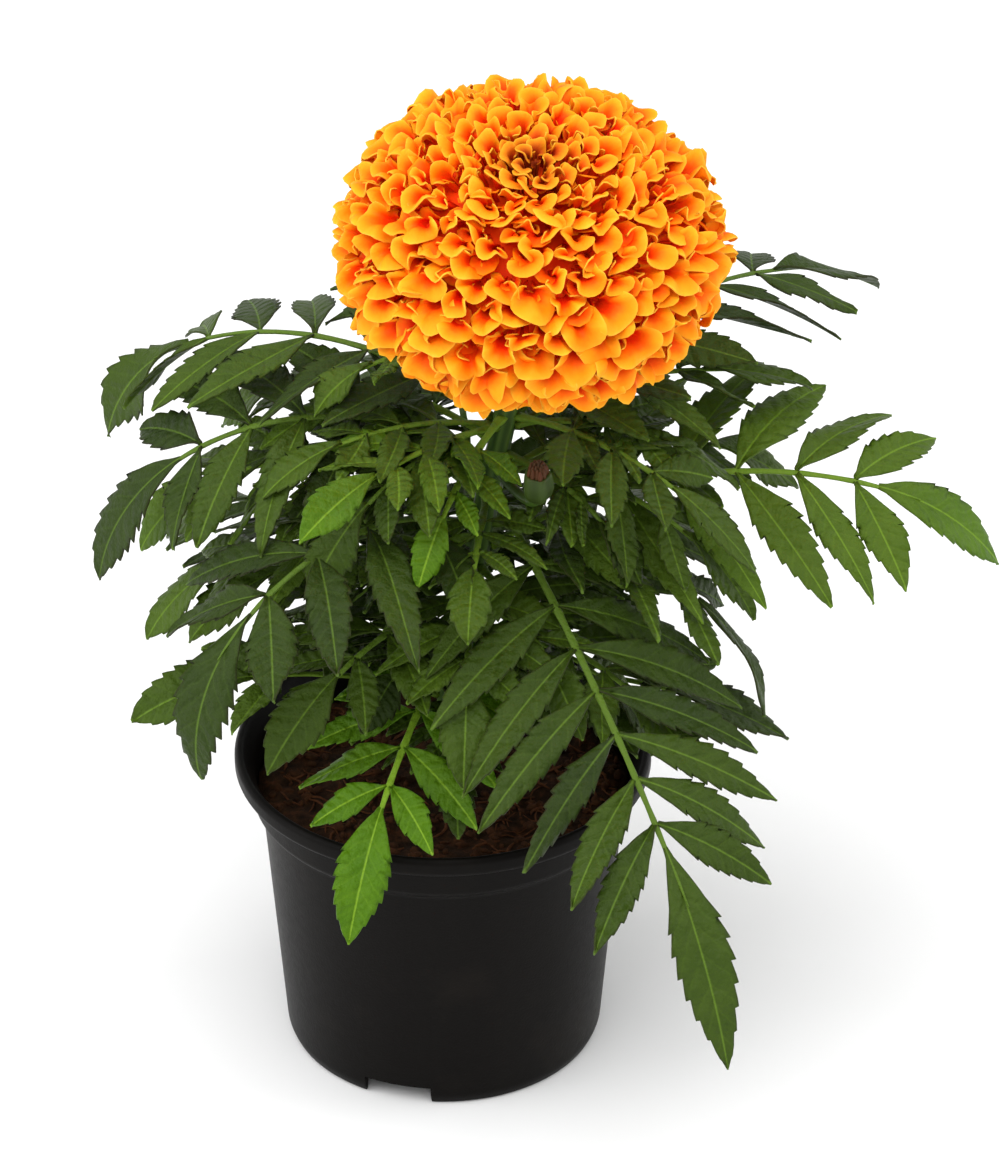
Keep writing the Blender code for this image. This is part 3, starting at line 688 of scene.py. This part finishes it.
def make_soil():
    """The compost's top, closed by a skirt, with its loose crumbs and fibres."""
    rows = []
    for ring in range(SOIL_RINGS + 2):
        is_skirt = ring > SOIL_RINGS
        radius = between((SOIL_MIDDLE_RADIUS, SOIL_WALL), ring / SOIL_RINGS)
        if is_skirt:
            radius = BODY_TOP_RADIUS - WALL - SOIL_CLEARANCE
        edge_dip = SOIL_EDGE_DIP * ease(SOIL_WALL - SOIL_EDGE_WIDTH, SOIL_WALL, radius)
        row = []
        for spoke in range(SOIL_SPOKES):
            place = heading(360.0 * spoke / SOIL_SPOKES) * radius
            place.z = SOIL_FOOT_Z if is_skirt else soil_height(place) - edge_dip
            row.append((place, (0.0, 0.0, 0.0, 1.0)))
        rows.append(row)
    sheet = Sheet()
    sheet.grid(rows, closed=True)
    compost = soil_finish("compost", (0.01, 0.005, 0.003), (0.045, 0.02, 0.01))
    add_solid(sheet, "soil_surface", compost, "potting_soil")
    draw = Random(SEED)
    make_crumbs(draw)
    make_fibres(draw)


def loose_place(draw, margin):
    """A random place on the compost, clear of the stem and this far from the wall."""
    way = heading(draw.uniform(0.0, 360.0))
    return way * between((LOOSE_FROM, SOIL_WALL - margin), sqrt(draw.random()))


def make_crumbs(draw):
    """Knobbly crumbs of compost, turned and stretched at random."""
    shape = bmesh.new()
    for _ in range(CRUMBS):
        place = loose_place(draw, CRUMB_MARGIN)
        size = draw.uniform(0.0005, 0.0015)
        place.z = soil_height(place) + size * 0.25
        turn = Matrix.Rotation(draw.uniform(0.0, tau), 4, draw.choice("XYZ"))
        stretch = Matrix.Diagonal((size * draw.uniform(0.8, 1.9), size, size * draw.uniform(0.6, 1.0), 1.0))
        lump = bmesh.ops.create_icosphere(shape, subdivisions=2, radius=1.0)["verts"]
        shift = Vector((draw.random(), draw.random(), draw.random())) * 50.0
        for vertex in lump:
            knobs = 1.0 + 0.35 * noise.noise(vertex.co * 1.8 + shift)
            vertex.co = Matrix.Translation(place) @ turn @ stretch @ (vertex.co * knobs)
    finish = soil_finish("crumb", (0.018, 0.008, 0.004), (0.075, 0.03, 0.013))
    crumbs = piece_of(mesh_from(shape), "soil_crumbs", finish)
    settle(bake(crumbs), "potting_soil")


def strand(sheet, points, radii, sides, marks):
    """A round closed strand through the points."""
    rows = []
    side_way = Vector((0.0, 0.0, 1.0))
    for number, (point, radius) in enumerate(zip(points, radii)):
        ahead = (points[min(number + 1, len(points) - 1)] - points[max(number - 1, 0)]).normalized()
        across = ahead.cross(side_way)
        if across.length < 0.2:
            across = ahead.cross(Vector((1.0, 0.0, 0.0)))
        across.normalize()
        over = ahead.cross(across)
        row = []
        for side in range(sides):
            angle = tau * side / sides
            row.append((point + (across * cos(angle) + over * sin(angle)) * radius, marks))
        rows.append(row)
    sheet.grid(rows, closed=True)


def make_fibres(draw):
    """Short bark and root fibres that lie on the compost."""
    sheet = Sheet()
    for _ in range(FIBRES):
        centre = loose_place(draw, FIBRE_MARGIN)
        way = heading(draw.uniform(0.0, 360.0))
        across = Vector((-way.y, way.x, 0.0))
        length = draw.uniform(0.004, 0.011)
        bend = draw.uniform(-0.3, 0.3) * length
        points = []
        for share in (-0.5, -0.25, 0.0, 0.25, 0.5):
            place = centre + way * length * share + across * bend * (4 * share * share)
            place = place * min(1.0, (SOIL_WALL - SOIL_CLEARANCE) / place.length)
            place.z = soil_height(place) + FIBRE_LIFT
            points.append(place)
        radius = draw.uniform(0.00018, 0.0005)
        radii = [radius * 0.5, radius, radius, radius, radius * 0.5]
        strand(sheet, points, radii, sides=5, marks=(0.0, 0.0, draw.random(), 1.0))
    finish = soil_finish("fibre", (0.05, 0.018, 0.008), (0.15, 0.055, 0.022))
    add_solid(sheet, "soil_fibres", finish, "potting_soil")


# Stem, calyx, side shoot and bud


def bloom_matrix():
    """Places the bloom's own axes, with +Z out of its centre."""
    tilt = Matrix.Rotation(BLOOM_TILT, 4, "X")
    lean = Matrix.Rotation(BLOOM_LEAN, 4, "Y")
    return Matrix.Translation(BLOOM_CENTRE) @ lean @ tilt


def calyx_matrix():
    """Places the calyx's own axes, from its foot towards the bloom."""
    bloom_foot = CORE_HALF_HEIGHT * sin(FIRST_RAY_LATITUDE)
    return bloom_matrix() @ Matrix.Translation((0.0, 0.0, bloom_foot - GAP - CALYX_LENGTH))


def neck_end():
    """Where the stem meets the calyx."""
    return calyx_matrix().translation


def stem_centre(height):
    end = neck_end()
    share = max(0.0, (height - SOIL_TOP_Z) / (end.z - SOIL_TOP_Z))
    return Vector((end.x * share**1.4, end.y * share, height))


def stem_radius(height):
    share = (height - STEM_FOOT_Z) / (neck_end().z - STEM_FOOT_Z)
    return between((STEM_FOOT_RADIUS, STEM_NECK_RADIUS), share)


def ribbed_ring(matrix, radius, height, ribs):
    """A ring of points that swells at each rib. The first mark is 1 on a rib and 0 between ribs."""
    sides = ribs.count * ribs.points
    row = []
    for side in range(sides):
        angle = tau * side / sides
        rib = 0.5 + 0.5 * cos(ribs.count * angle)
        reach = radius * (1.0 - ribs.depth + ribs.depth * rib)
        point = matrix @ Vector((reach * cos(angle), reach * sin(angle), height))
        row.append((point, (rib, 0.0, 0.0, ribs.age)))
    return row


def add_cup(sheet, matrix, outline, radius, length, ribs):
    """A closed ribbed cup of this outline."""
    rows = [ribbed_ring(matrix, radius * reach, length * height, ribs) for reach, height in outline]
    sheet.grid(rows, closed=True)


def make_stem():
    """Main stem, calyx, side shoot and the bud's cup, as one green piece."""
    sheet = Sheet()
    rows = []
    foot = STEM_FOOT_Z + GAP
    top = neck_end().z
    joints = [leaf.height / 1000 for leaf in LEAVES[:SWOLLEN_JOINTS]]
    for step in range(STEM_STEPS + 1):
        height = between((foot, top), step / STEM_STEPS)
        near = sum(bell(height - joint, SWELL_REACH) for joint in joints)
        radius = stem_radius(height) * min(1.0 + SWELL * near, SWELL_MOST)
        rows.append(ribbed_ring(Matrix.Translation(stem_centre(height)), radius, 0.0, STEM_RIBS))
    sheet.grid(rows, closed=True)
    add_cup(sheet, calyx_matrix(), CALYX_OUTLINE, CALYX_RADIUS, CALYX_LENGTH, CALYX_RIBS)
    fork = stem_centre(SHOOT_FORK_Z)
    sag = Vector((0.0, 0.0, -SHOOT_SAG))
    path = soft_path([fork, fork.lerp(BUD_BASE, 0.4) + sag, fork.lerp(BUD_BASE, 0.8) + sag, BUD_BASE], 7)
    shares = [number / (len(path) - 1) for number in range(len(path))]
    radii = [SHOOT_RADIUS * (1.0 - 0.15 * sin(pi * share)) for share in shares]
    strand(sheet, path, radii, sides=10, marks=(0.6, 0.0, 0.0, CALYX_RIBS.age))
    bud = Matrix.Translation(BUD_BASE) @ Matrix.Rotation(BUD_TILT, 4, "X")
    add_cup(sheet, bud, BUD_OUTLINE, BUD_RADIUS, BUD_LENGTH, BUD_RIBS)
    add_solid(sheet, "stem_ribbed", stem_finish(), "stem")
    make_bud_petals(bud)


def soft_path(knots, parts):
    """Points of a smooth curve through the knots, this many for each stretch."""
    points = []
    last = len(knots) - 1
    for number in range(last):
        before, start = knots[max(number - 1, 0)], knots[number]
        end, after = knots[number + 1], knots[min(number + 2, last)]
        slope = end - before
        bend = 2 * before - 5 * start + 4 * end - after
        twist = 3 * start - before - 3 * end + after
        for part in range(parts):
            share = part / parts
            points.append(0.5 * (2 * start + slope * share + bend * share**2 + twist * share**3))
    return [*points, knots[-1]]


def make_bud_petals(bud):
    """The bud's closed florets: a tight cluster of pointed scrolls."""
    sheet = Sheet()
    draw = Random(SEED + 1)
    foot = BUD_LENGTH * 0.9
    radii = [BUD_RADIUS * 0.15 * share for share in (1.0, 1.1, 1.1, 0.9, 0.25)]
    for number in range(BUD_FLORETS):
        share = number / (BUD_FLORETS - 1)
        out = heading(degrees(number * GOLDEN_ANGLE)) * BUD_RADIUS * 0.6 * sqrt(share)
        top = BUD_LENGTH + BUD_TIP_LENGTH * (0.98 - 0.4 * share) + draw.uniform(-0.0003, 0.0)
        points = []
        for part in range(len(radii)):
            rise = part / (len(radii) - 1)
            height = between((foot, top), rise)
            points.append(bud @ (out * (1.0 - 0.15 * rise) + Vector((0.0, 0.0, height))))
        strand(sheet, points, radii, sides=6, marks=(share, 0.0, draw.random(), 1.0))
    add_solid(sheet, "bud_scrolls", bud_finish(), "bud_petals")


# Bloom


def spheroid(radius, half_height, latitude, longitude):
    """A point of the bloom's spheroid, with the shallow dimple over its pole."""
    level = radius * cos(latitude)
    height = half_height * sin(latitude) - BLOOM_DIMPLE * bell(pi / 2 - latitude, radians(24.0))
    return Vector((level * cos(longitude), level * sin(longitude), height))


def floret_axes(draw, latitude, longitude):
    """East, north and outward at a place on the bloom, turned a little at random."""
    above = spheroid(BLOOM_RADIUS, BLOOM_HALF_HEIGHT, latitude + 0.05, longitude)
    below = spheroid(BLOOM_RADIUS, BLOOM_HALF_HEIGHT, latitude - 0.05, longitude)
    level = Vector((-sin(longitude), cos(longitude), 0.0))
    uphill = (above - below).normalized()
    turn = max(-0.9, min(0.9, draw.gauss(0.0, 0.5)))
    east = level * cos(turn) + uphill * sin(turn)
    north = uphill * cos(turn) - level * sin(turn)
    outward = east.cross(north) + east * draw.gauss(0.0, RAY_TILT) + north * draw.gauss(0.0, RAY_TILT)
    outward.normalize()
    east = north.cross(outward).normalized()
    return east, outward.cross(east), outward


def floret(sheet, draw, latitude, longitude, half_width, reach, painted_depth_shade, columns):
    """One ray floret: a scrolled claw that opens into a ruffled scoop, longest at its lower lip."""
    lip_latitude = latitude - RAY_SAG * cos(latitude)
    tip = spheroid(BLOOM_RADIUS * reach, BLOOM_HALF_HEIGHT * reach, lip_latitude, longitude)
    root = spheroid(CORE_RADIUS, CORE_HALF_HEIGHT, latitude, longitude)
    east, north, outward = floret_axes(draw, lip_latitude, longitude)
    claw = half_width * draw.uniform(0.26, 0.4)
    flare = half_width * draw.uniform(0.92, 1.08)
    neck = tip - outward * flare * 0.92
    spread = radians(draw.uniform(125.0, 162.0))
    waves = columns * draw.uniform(0.07, 0.125)
    frills = columns * draw.uniform(0.14, 0.2)
    phase, other_phase, lobe_phase = (draw.uniform(0.0, tau) for _ in range(3))
    ruffle = draw.uniform(0.24, 0.46) * half_width
    notch_place = draw.uniform(-0.4, 0.4)
    squeeze = draw.uniform(0.55, 1.0)
    lift = radians(draw.uniform(24.0, 48.0))
    curl = radians(draw.uniform(36.0, 62.0))
    roll = radians(draw.uniform(0.0, 16.0))
    chance = draw.random()
    height_mark = 0.5 + latitude / pi
    rows = []
    for along in RAY_ROWS:
        open_share = ease(0.32, 1.0, along)
        rolled = ease(0.66, 1.0, along)
        closing = between((FLORET_SCROLL, spread), ease(0.2, 0.85, along))
        throat = claw * (0.5 + 0.5 * ease(0.0, 0.5, along))
        centre = root.lerp(neck, min(1.0, along / 0.4))
        row = []
        for column in range(columns + 1):
            side = 2.0 * column / columns - 1.0
            around = side * closing
            lower = 0.5 + 0.5 * cos(around)
            notch = 1.0 - 0.1 * bell(side - notch_place, 0.16)
            lobes = 1.0 + 0.06 * sin(frills * pi * side + lobe_phase)
            corner = 1.0 - 0.45 * side**6 * along * along
            size = flare * (0.42 + 0.58 * lower) * notch * lobes * corner
            bend = (lift + curl * lower) * open_share + roll * rolled * lower
            ripple = sin(waves * pi * side + phase)
            ripple += 0.6 * sin(frills * pi * side + other_phase)
            ripple *= ruffle * open_share**1.5
            radial = throat + size * (1.0 - cos(bend)) - ripple * cos(bend)
            axial = (size + ripple) * sin(bend)
            way = east * sin(around) - north * cos(around) * squeeze
            # On the inner florets the first mark is pulled towards the dark throat, as painted shade in the
            # bloom's gaps.
            marks = (along * (1.0 - 0.3 * painted_depth_shade), side * 0.5 + 0.5, chance, height_mark)
            row.append((centre + way * radial + outward * axial, marks))
        rows.append(row)
    sheet.grid(rows)


def floret_spacing(latitude):
    """How far apart the florets stand at a latitude: tiny at the pole, soon broad away from it."""
    from_pole = (pi / 2 - latitude) / FLORET_GROWTH_ANGLE
    return between(FLORET_SPACING, 1.0 - exp(-from_pole))


def floret_places(crowding):
    """(latitude, longitude) of each floret: a golden spiral from the underside to the pole."""
    places = []
    latitude = FIRST_FLORET_LATITUDE
    while latitude < LAST_LATITUDE:
        spacing = floret_spacing(latitude) * crowding
        meridian = hypot(BLOOM_RADIUS * sin(latitude), BLOOM_HALF_HEIGHT * cos(latitude))
        places.append((latitude, len(places) * GOLDEN_ANGLE))
        latitude += spacing * spacing / (tau * BLOOM_RADIUS * cos(latitude) * meridian)
    return places


def drawn_in(point):
    """The point, drawn back part of the way if it stands out of the spheroid."""
    reach = hypot(point.x / BLOOM_RADIUS, point.y / BLOOM_RADIUS, point.z / BLOOM_HALF_HEIGHT)
    return point * min(1.0, (LOOSE_REACH + LOOSE_SHARE * (reach - LOOSE_REACH)) / reach)


def make_bloom():
    """A golden spiral of florets, in a lower and an upper piece, and a deeper one in its gaps, coloured
    darker as painted shade.
    """
    draw = Random(SEED + 2)
    finish = petal_finish()
    outer = floret_places(1.0)
    inner = floret_places(1.2)
    half = round(LOWER_SHARE * len(outer))
    # The fifth value pulls a piece's colour towards the dark throat, as painted shade for the inner florets
    # in the gaps.
    for name, places, reaches, growth, painted_depth_shade, most_columns in (
        ("bloom_lower_florets", outer[:half], (0.95, 1.0), 0.8, 0.0, 26),
        ("bloom_upper_florets", outer[half:], (0.95, 1.0), 0.78, 0.0, 26),
        ("bloom_inner_florets", inner, (0.85, 0.92), 0.62, 0.7, 11),
    ):
        sheet = Sheet()
        for latitude, longitude in places:
            spacing = floret_spacing(latitude)
            north = draw.uniform(-RAY_WANDER, RAY_WANDER) * spacing / BLOOM_RADIUS
            east = draw.uniform(-RAY_WANDER, RAY_WANDER) * spacing / (BLOOM_RADIUS * cos(latitude))
            half_width = growth * spacing * draw.uniform(0.84, 1.08)
            reach = draw.uniform(*reaches)
            columns = round(most_columns * (0.4 + 0.6 * spacing / FLORET_SPACING[1]))
            floret(sheet, draw, latitude + north, longitude + east, half_width, reach, painted_depth_shade, columns)
        sheet.points = [drawn_in(point) for point in sheet.points]
        mesh = sheet.mesh()
        mesh.transform(bloom_matrix())
        for vertex in mesh.vertices:
            vertex.co.z -= BLOOM_TOP_PRESS * max(0.0, vertex.co.z - BLOOM_TOP_Z)
        florets = piece_of(mesh, name, finish)
        settle(thicken(florets, RAY_THICKNESS), "bloom")
    make_receptacle(finish)


def make_receptacle(finish):
    """The closed body that the florets grow from."""
    steps, sides = 12, 40
    rows = []
    for step in range(steps + 1):
        latitude = between((FIRST_RAY_LATITUDE, LAST_LATITUDE), step / steps)
        row = []
        for side in range(sides):
            point = spheroid(RECEPTACLE_RADIUS, RECEPTACLE_HALF_HEIGHT, latitude, tau * side / sides)
            row.append((bloom_matrix() @ point, (0.5, 0.5, 0.5, 0.5)))
        rows.append(row)
    sheet = Sheet()
    sheet.grid(rows, closed=True)
    add_solid(sheet, "bloom_receptacle", finish, "bloom")


# Leaves


def leaf_frame(leaf, along):
    """Place and axes (centre, left, up) of the arching rachis at a distance along it."""
    length = leaf.length / 1000
    rise, droop = radians(leaf.rise), radians(leaf.droop)
    bend = (droop - rise) / length
    pitch = rise + bend * along
    level = (sin(pitch) - sin(rise)) / bend
    climb = (cos(rise) - cos(pitch)) / bend
    out = heading(leaf.azimuth)
    height = leaf.height / 1000
    start = stem_radius(height) + 2 * GAP + STEEP_LEAF_GAP * abs(sin(rise))
    centre = stem_centre(height) + out * (start + level) + Vector((0.0, 0.0, climb))
    ahead = out * cos(pitch) + Vector((0.0, 0.0, sin(pitch)))
    left = Vector((-out.y, out.x, 0.0))
    up = ahead.cross(left)
    roll = radians(leaf.roll) * min(1.0, max(0.0, along) / (ROLL_SHARE * length))
    return centre, left * cos(roll) + up * sin(roll), up * cos(roll) - left * sin(roll)


def on_leaf(leaf, along, across, height):
    """A point over the flat leaf, bent with its rachis."""
    centre, left, up = leaf_frame(leaf, along)
    return centre + left * across + up * (height - BLADE_SAG * across * across)


def leaflet_pairs(leaf):
    """For each pair of leaflets: its place along the rachis, length, width and angle."""
    first = STALK + STALK_SHARE * leaf.length / 1000
    last = (leaf.length - leaf.tip) / 1000 - TIP_STALK
    spacing = (last - first) / (leaf.pairs - 1)
    pairs = []
    for number in range(leaf.pairs):
        share = number / (leaf.pairs - 1)
        swell = between((LEAFLET_LEAST, 1.0), sin(pi * (0.2 + 0.75 * share)))
        size = LEAFLET_GROWTH * leaf.leaflet / 1000 * swell
        angle = between(LEAFLET_ANGLES, share)
        width = min(LEAFLET_FILL * leaf.width / 1000, spacing * sin(angle) * LEAFLET_FILL)
        pairs.append((first + spacing * number, size, width, angle))
    return pairs


def blade_rows(length):
    """(share of the length, share of the way up its tooth) for each row of a leaflet's grid."""
    rows = [(share, 0.0) for share in NECK_ROWS]
    teeth = max(TOOTH_COUNTS[0], min(TOOTH_COUNTS[1], round(length / TOOTH_SPACING)))
    step = (LAST_TOOTH - FIRST_TOOTH) / teeth
    for tooth in range(teeth):
        for rise in (0.0, 0.6, 1.0):
            rows.append((FIRST_TOOTH + step * (tooth + rise * TOOTH_SLANT), rise))
    return [*rows, (0.96, 0.15), (0.985, 0.3), (1.0, 0.5)]


def leaflet_share(place):
    """Half width of a leaflet at a share of its length, against its widest."""
    if place < LEAFLET_WIDEST:
        return sin(pi / 2 * place / LEAFLET_WIDEST) ** 1.02
    return max(0.0, cos(pi / 2 * (place - LEAFLET_WIDEST) / (1.0 - LEAFLET_WIDEST))) ** 0.84


def add_leaflet(sheet, draw, leaf, base, angle, side, length, width):
    """One toothed leaflet: folded, curled, twisted a little and waved. The end leaflet's angle is 0."""
    axis = Vector((cos(angle), side * sin(angle)))
    cross = Vector((sin(angle), -side * cos(angle)))
    fold = draw.uniform(0.08, 0.48)
    curl = draw.uniform(-0.5, 4.5)
    twist = draw.gauss(0.0, 0.3)
    if not angle:
        twist += TIP_TURN * max(0.0, -cos(radians(leaf.azimuth)))
    wave = draw.uniform(0.0004, 0.0011)
    phase = draw.uniform(0.0, tau)
    depth = TOOTH_DEPTH * draw.uniform(0.8, 1.3) * (1.0 - 0.35 * leaf.age)
    shade = leaf.age + draw.uniform(-LEAFLET_SHADES, LEAFLET_SHADES)
    youth = TIP_YOUTH if leaf.age > YOUNG_AGE and not angle else 0.0
    rows = []
    for place, rise in blade_rows(length):
        age = min(1.0, max(0.0, shade + youth * place))
        half = max(width / 2 * leaflet_share(place), LEAFLET_NECK * (1.0 - 0.85 * place))
        turn = twist * ease(0.02, 0.75, place)
        sickle = LEAFLET_SICKLE * length * place**2 if angle else 0.0
        row = []
        for column in BLADE_COLUMNS:
            outer = abs(column) ** 3
            across = half * column * (1.0 - depth * (1.0 - rise) * outer)
            along = length * place + TOOTH_REACH * rise * outer * ease(0.0, 0.3, place) * (1.0 - place)
            height = fold * abs(across) * (1.0 - 0.45 * place) - LEAFLET_CUP * across * across
            height += wave * sin(9.0 * place + phase + (1.6 if column > 0 else 0.0)) * column**2
            height -= curl * (length * place) ** 2
            height -= MIDRIB_DEPTH * bell(across, MIDRIB_REACH)
            flat = across * cos(turn) - height * sin(turn) * 0.2
            height += across * sin(turn)
            spot = base + axis * along + cross * (flat + sickle)
            row.append((on_leaf(leaf, spot.x, spot.y, height), (abs(across) * 100.0, place, outer, age)))
        rows.append(row)
    sheet.grid(rows)


def add_rachis(sheet, leaf):
    """The leaf's stalk: round below, flatter above, wider at the stem and at its leaflets."""
    end = (leaf.length - leaf.tip * 0.72) / 1000
    joints = [pair[0] for pair in leaflet_pairs(leaf)]
    rows = []
    for step in range(RACHIS_STEPS + 1):
        share = step / RACHIS_STEPS
        along = between((RACHIS_START, end), share)
        radius = between(RACHIS_RADII, share)
        radius *= 1.0 + RACHIS_CLASP * bell(along + 0.001, 0.003)
        wide = 1.0 + RACHIS_JOINT * max(bell(along - joint, 0.0042) for joint in joints)
        radius *= 1.0 - 6.5 * max(0.0, share - RACHIS_TAPER_FROM)
        row = []
        for side in range(RACHIS_SIDES):
            angle = tau * side / RACHIS_SIDES
            flat = 0.45 if sin(angle) > 0 else 1.0
            height = radius * flat * sin(angle) - RACHIS_DROP
            point = on_leaf(leaf, along, radius * wide * cos(angle), height)
            row.append((point, (0.0, share, 0.0, leaf.age)))
        rows.append(row)
    sheet.grid(rows, closed=True)


def make_foliage(leaves, name, finish):
    """The leaves as one piece: their blades thickened, their stalks round."""
    blades = Sheet()
    stalks = Sheet()
    for leaf in leaves:
        draw = Random(f"{SEED}{leaf.name}")
        for along, size, width, angle in leaflet_pairs(leaf):
            for side in (-1, 1):
                lean = angle + draw.uniform(-0.07, 0.07)
                length = size * draw.uniform(0.93, 1.05)
                base = Vector((along, side * LEAFLET_BASE))
                add_leaflet(blades, draw, leaf, base, lean, side, length, width * draw.uniform(0.9, 1.06))
        end = Vector(((leaf.length - leaf.tip) / 1000, 0.0))
        add_leaflet(blades, draw, leaf, end, 0.0, 1, leaf.tip / 1000, leaf.width / 1000 * TIP_BREADTH)
        add_rachis(stalks, leaf)
    piece = piece_of(blades.mesh(), name, finish)
    thicken(piece, BLADE_THICKNESS)
    shape = bmesh.new()
    shape.from_mesh(piece.data)
    shape.from_mesh(stalks.mesh())
    shape.to_mesh(piece.data)
    shape.free()
    bake(piece)
    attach(piece, "root")
    return piece


def inner_leaves():
    """Small leaves of short side shoots, close round the stem, kept dark partly as painted shade."""
    draw = Random(SEED + 3)
    leaves = []
    for number in range(INNER_LEAVES):
        share = number / (INNER_LEAVES - 1)
        length = draw.uniform(50.0, 62.0 + 26.0 * share)
        if number % 4 == 1:
            length *= 1.35
        leaf = Leaf(
            name=f"inner_{number}",
            height=between(INNER_HEIGHTS, share),
            azimuth=degrees(number * GOLDEN_ANGLE) + draw.uniform(-15.0, 15.0),
            length=length,
            rise=draw.uniform(0.0, 40.0 - 25.0 * share),
            droop=draw.uniform(-65.0, -30.0),
            roll=draw.uniform(-25.0, 25.0),
            pairs=3,
            leaflet=0.36 * length,
            tip=0.4 * length,
            width=draw.uniform(8.5, 11.5),
            # Low ages keep the inner leaves dark green: partly older leaves' own colour, partly painted shade
            # for the plant's depths.
            age=draw.uniform(0.0, 0.45),
        )
        leaves.append(leaf)
    return leaves


# Stage


def make_stage():
    """Pale floor, white sky and three soft lamps that face the plant."""
    shape = bmesh.new()
    bmesh.ops.create_grid(shape, x_segments=1, y_segments=1, size=FLOOR_REACH)
    floor = piece_of(mesh_from(shape), "floor", floor_finish())
    floor.location.z = -FLOOR_DROP
    world = bpy.data.worlds.new("studio")
    bpy.context.scene.world = world
    world.use_nodes = True
    sky = world.node_tree.nodes["Background"]
    sky.inputs["Color"].default_value = (1.0, 1.0, 1.0, 1.0)
    sky.inputs["Strength"].default_value = 0.72
    for name, place, size, power in LIGHTS:
        lamp = bpy.data.lights.new(name, "AREA")
        lamp.size = size
        lamp.energy = power
        light = added(name, lamp)
        light.location = place
        aim = LIGHT_TARGET - Vector(place)
        light.rotation_euler = aim.to_track_quat("-Z", "Y").to_euler()


def make_camera():
    """The camera at the photograph's viewing angle."""
    ahead = Vector((0.0, cos(SHOT_ELEVATION), -sin(SHOT_ELEVATION)))
    up = Vector((0.0, sin(SHOT_ELEVATION), cos(SHOT_ELEVATION)))
    shot = bpy.data.cameras.new("shot")
    shot.sensor_fit = "HORIZONTAL"
    shot.lens = SHOT_LENS
    camera = added("shot", shot)
    camera.location = SHOT_TARGET + up * SHOT_RISE - ahead * SHOT_DISTANCE
    camera.rotation_euler = ahead.to_track_quat("-Z", "Y").to_euler()
    bpy.context.scene.camera = camera


bpy.context.scene.view_settings.view_transform = "Standard"
make_stage()
make_camera()
make_pot()
make_soil()
make_stem()
make_bloom()
leaf_material = leaf_finish()
for leaf in LEAVES:
    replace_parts(make_foliage([leaf], leaf.name + "_fine", leaf_material), leaf.name)
make_foliage(inner_leaves(), "inner_foliage", leaf_material)
make_foliage(SHOOT_LEAVES, "shoot_foliage", leaf_material)
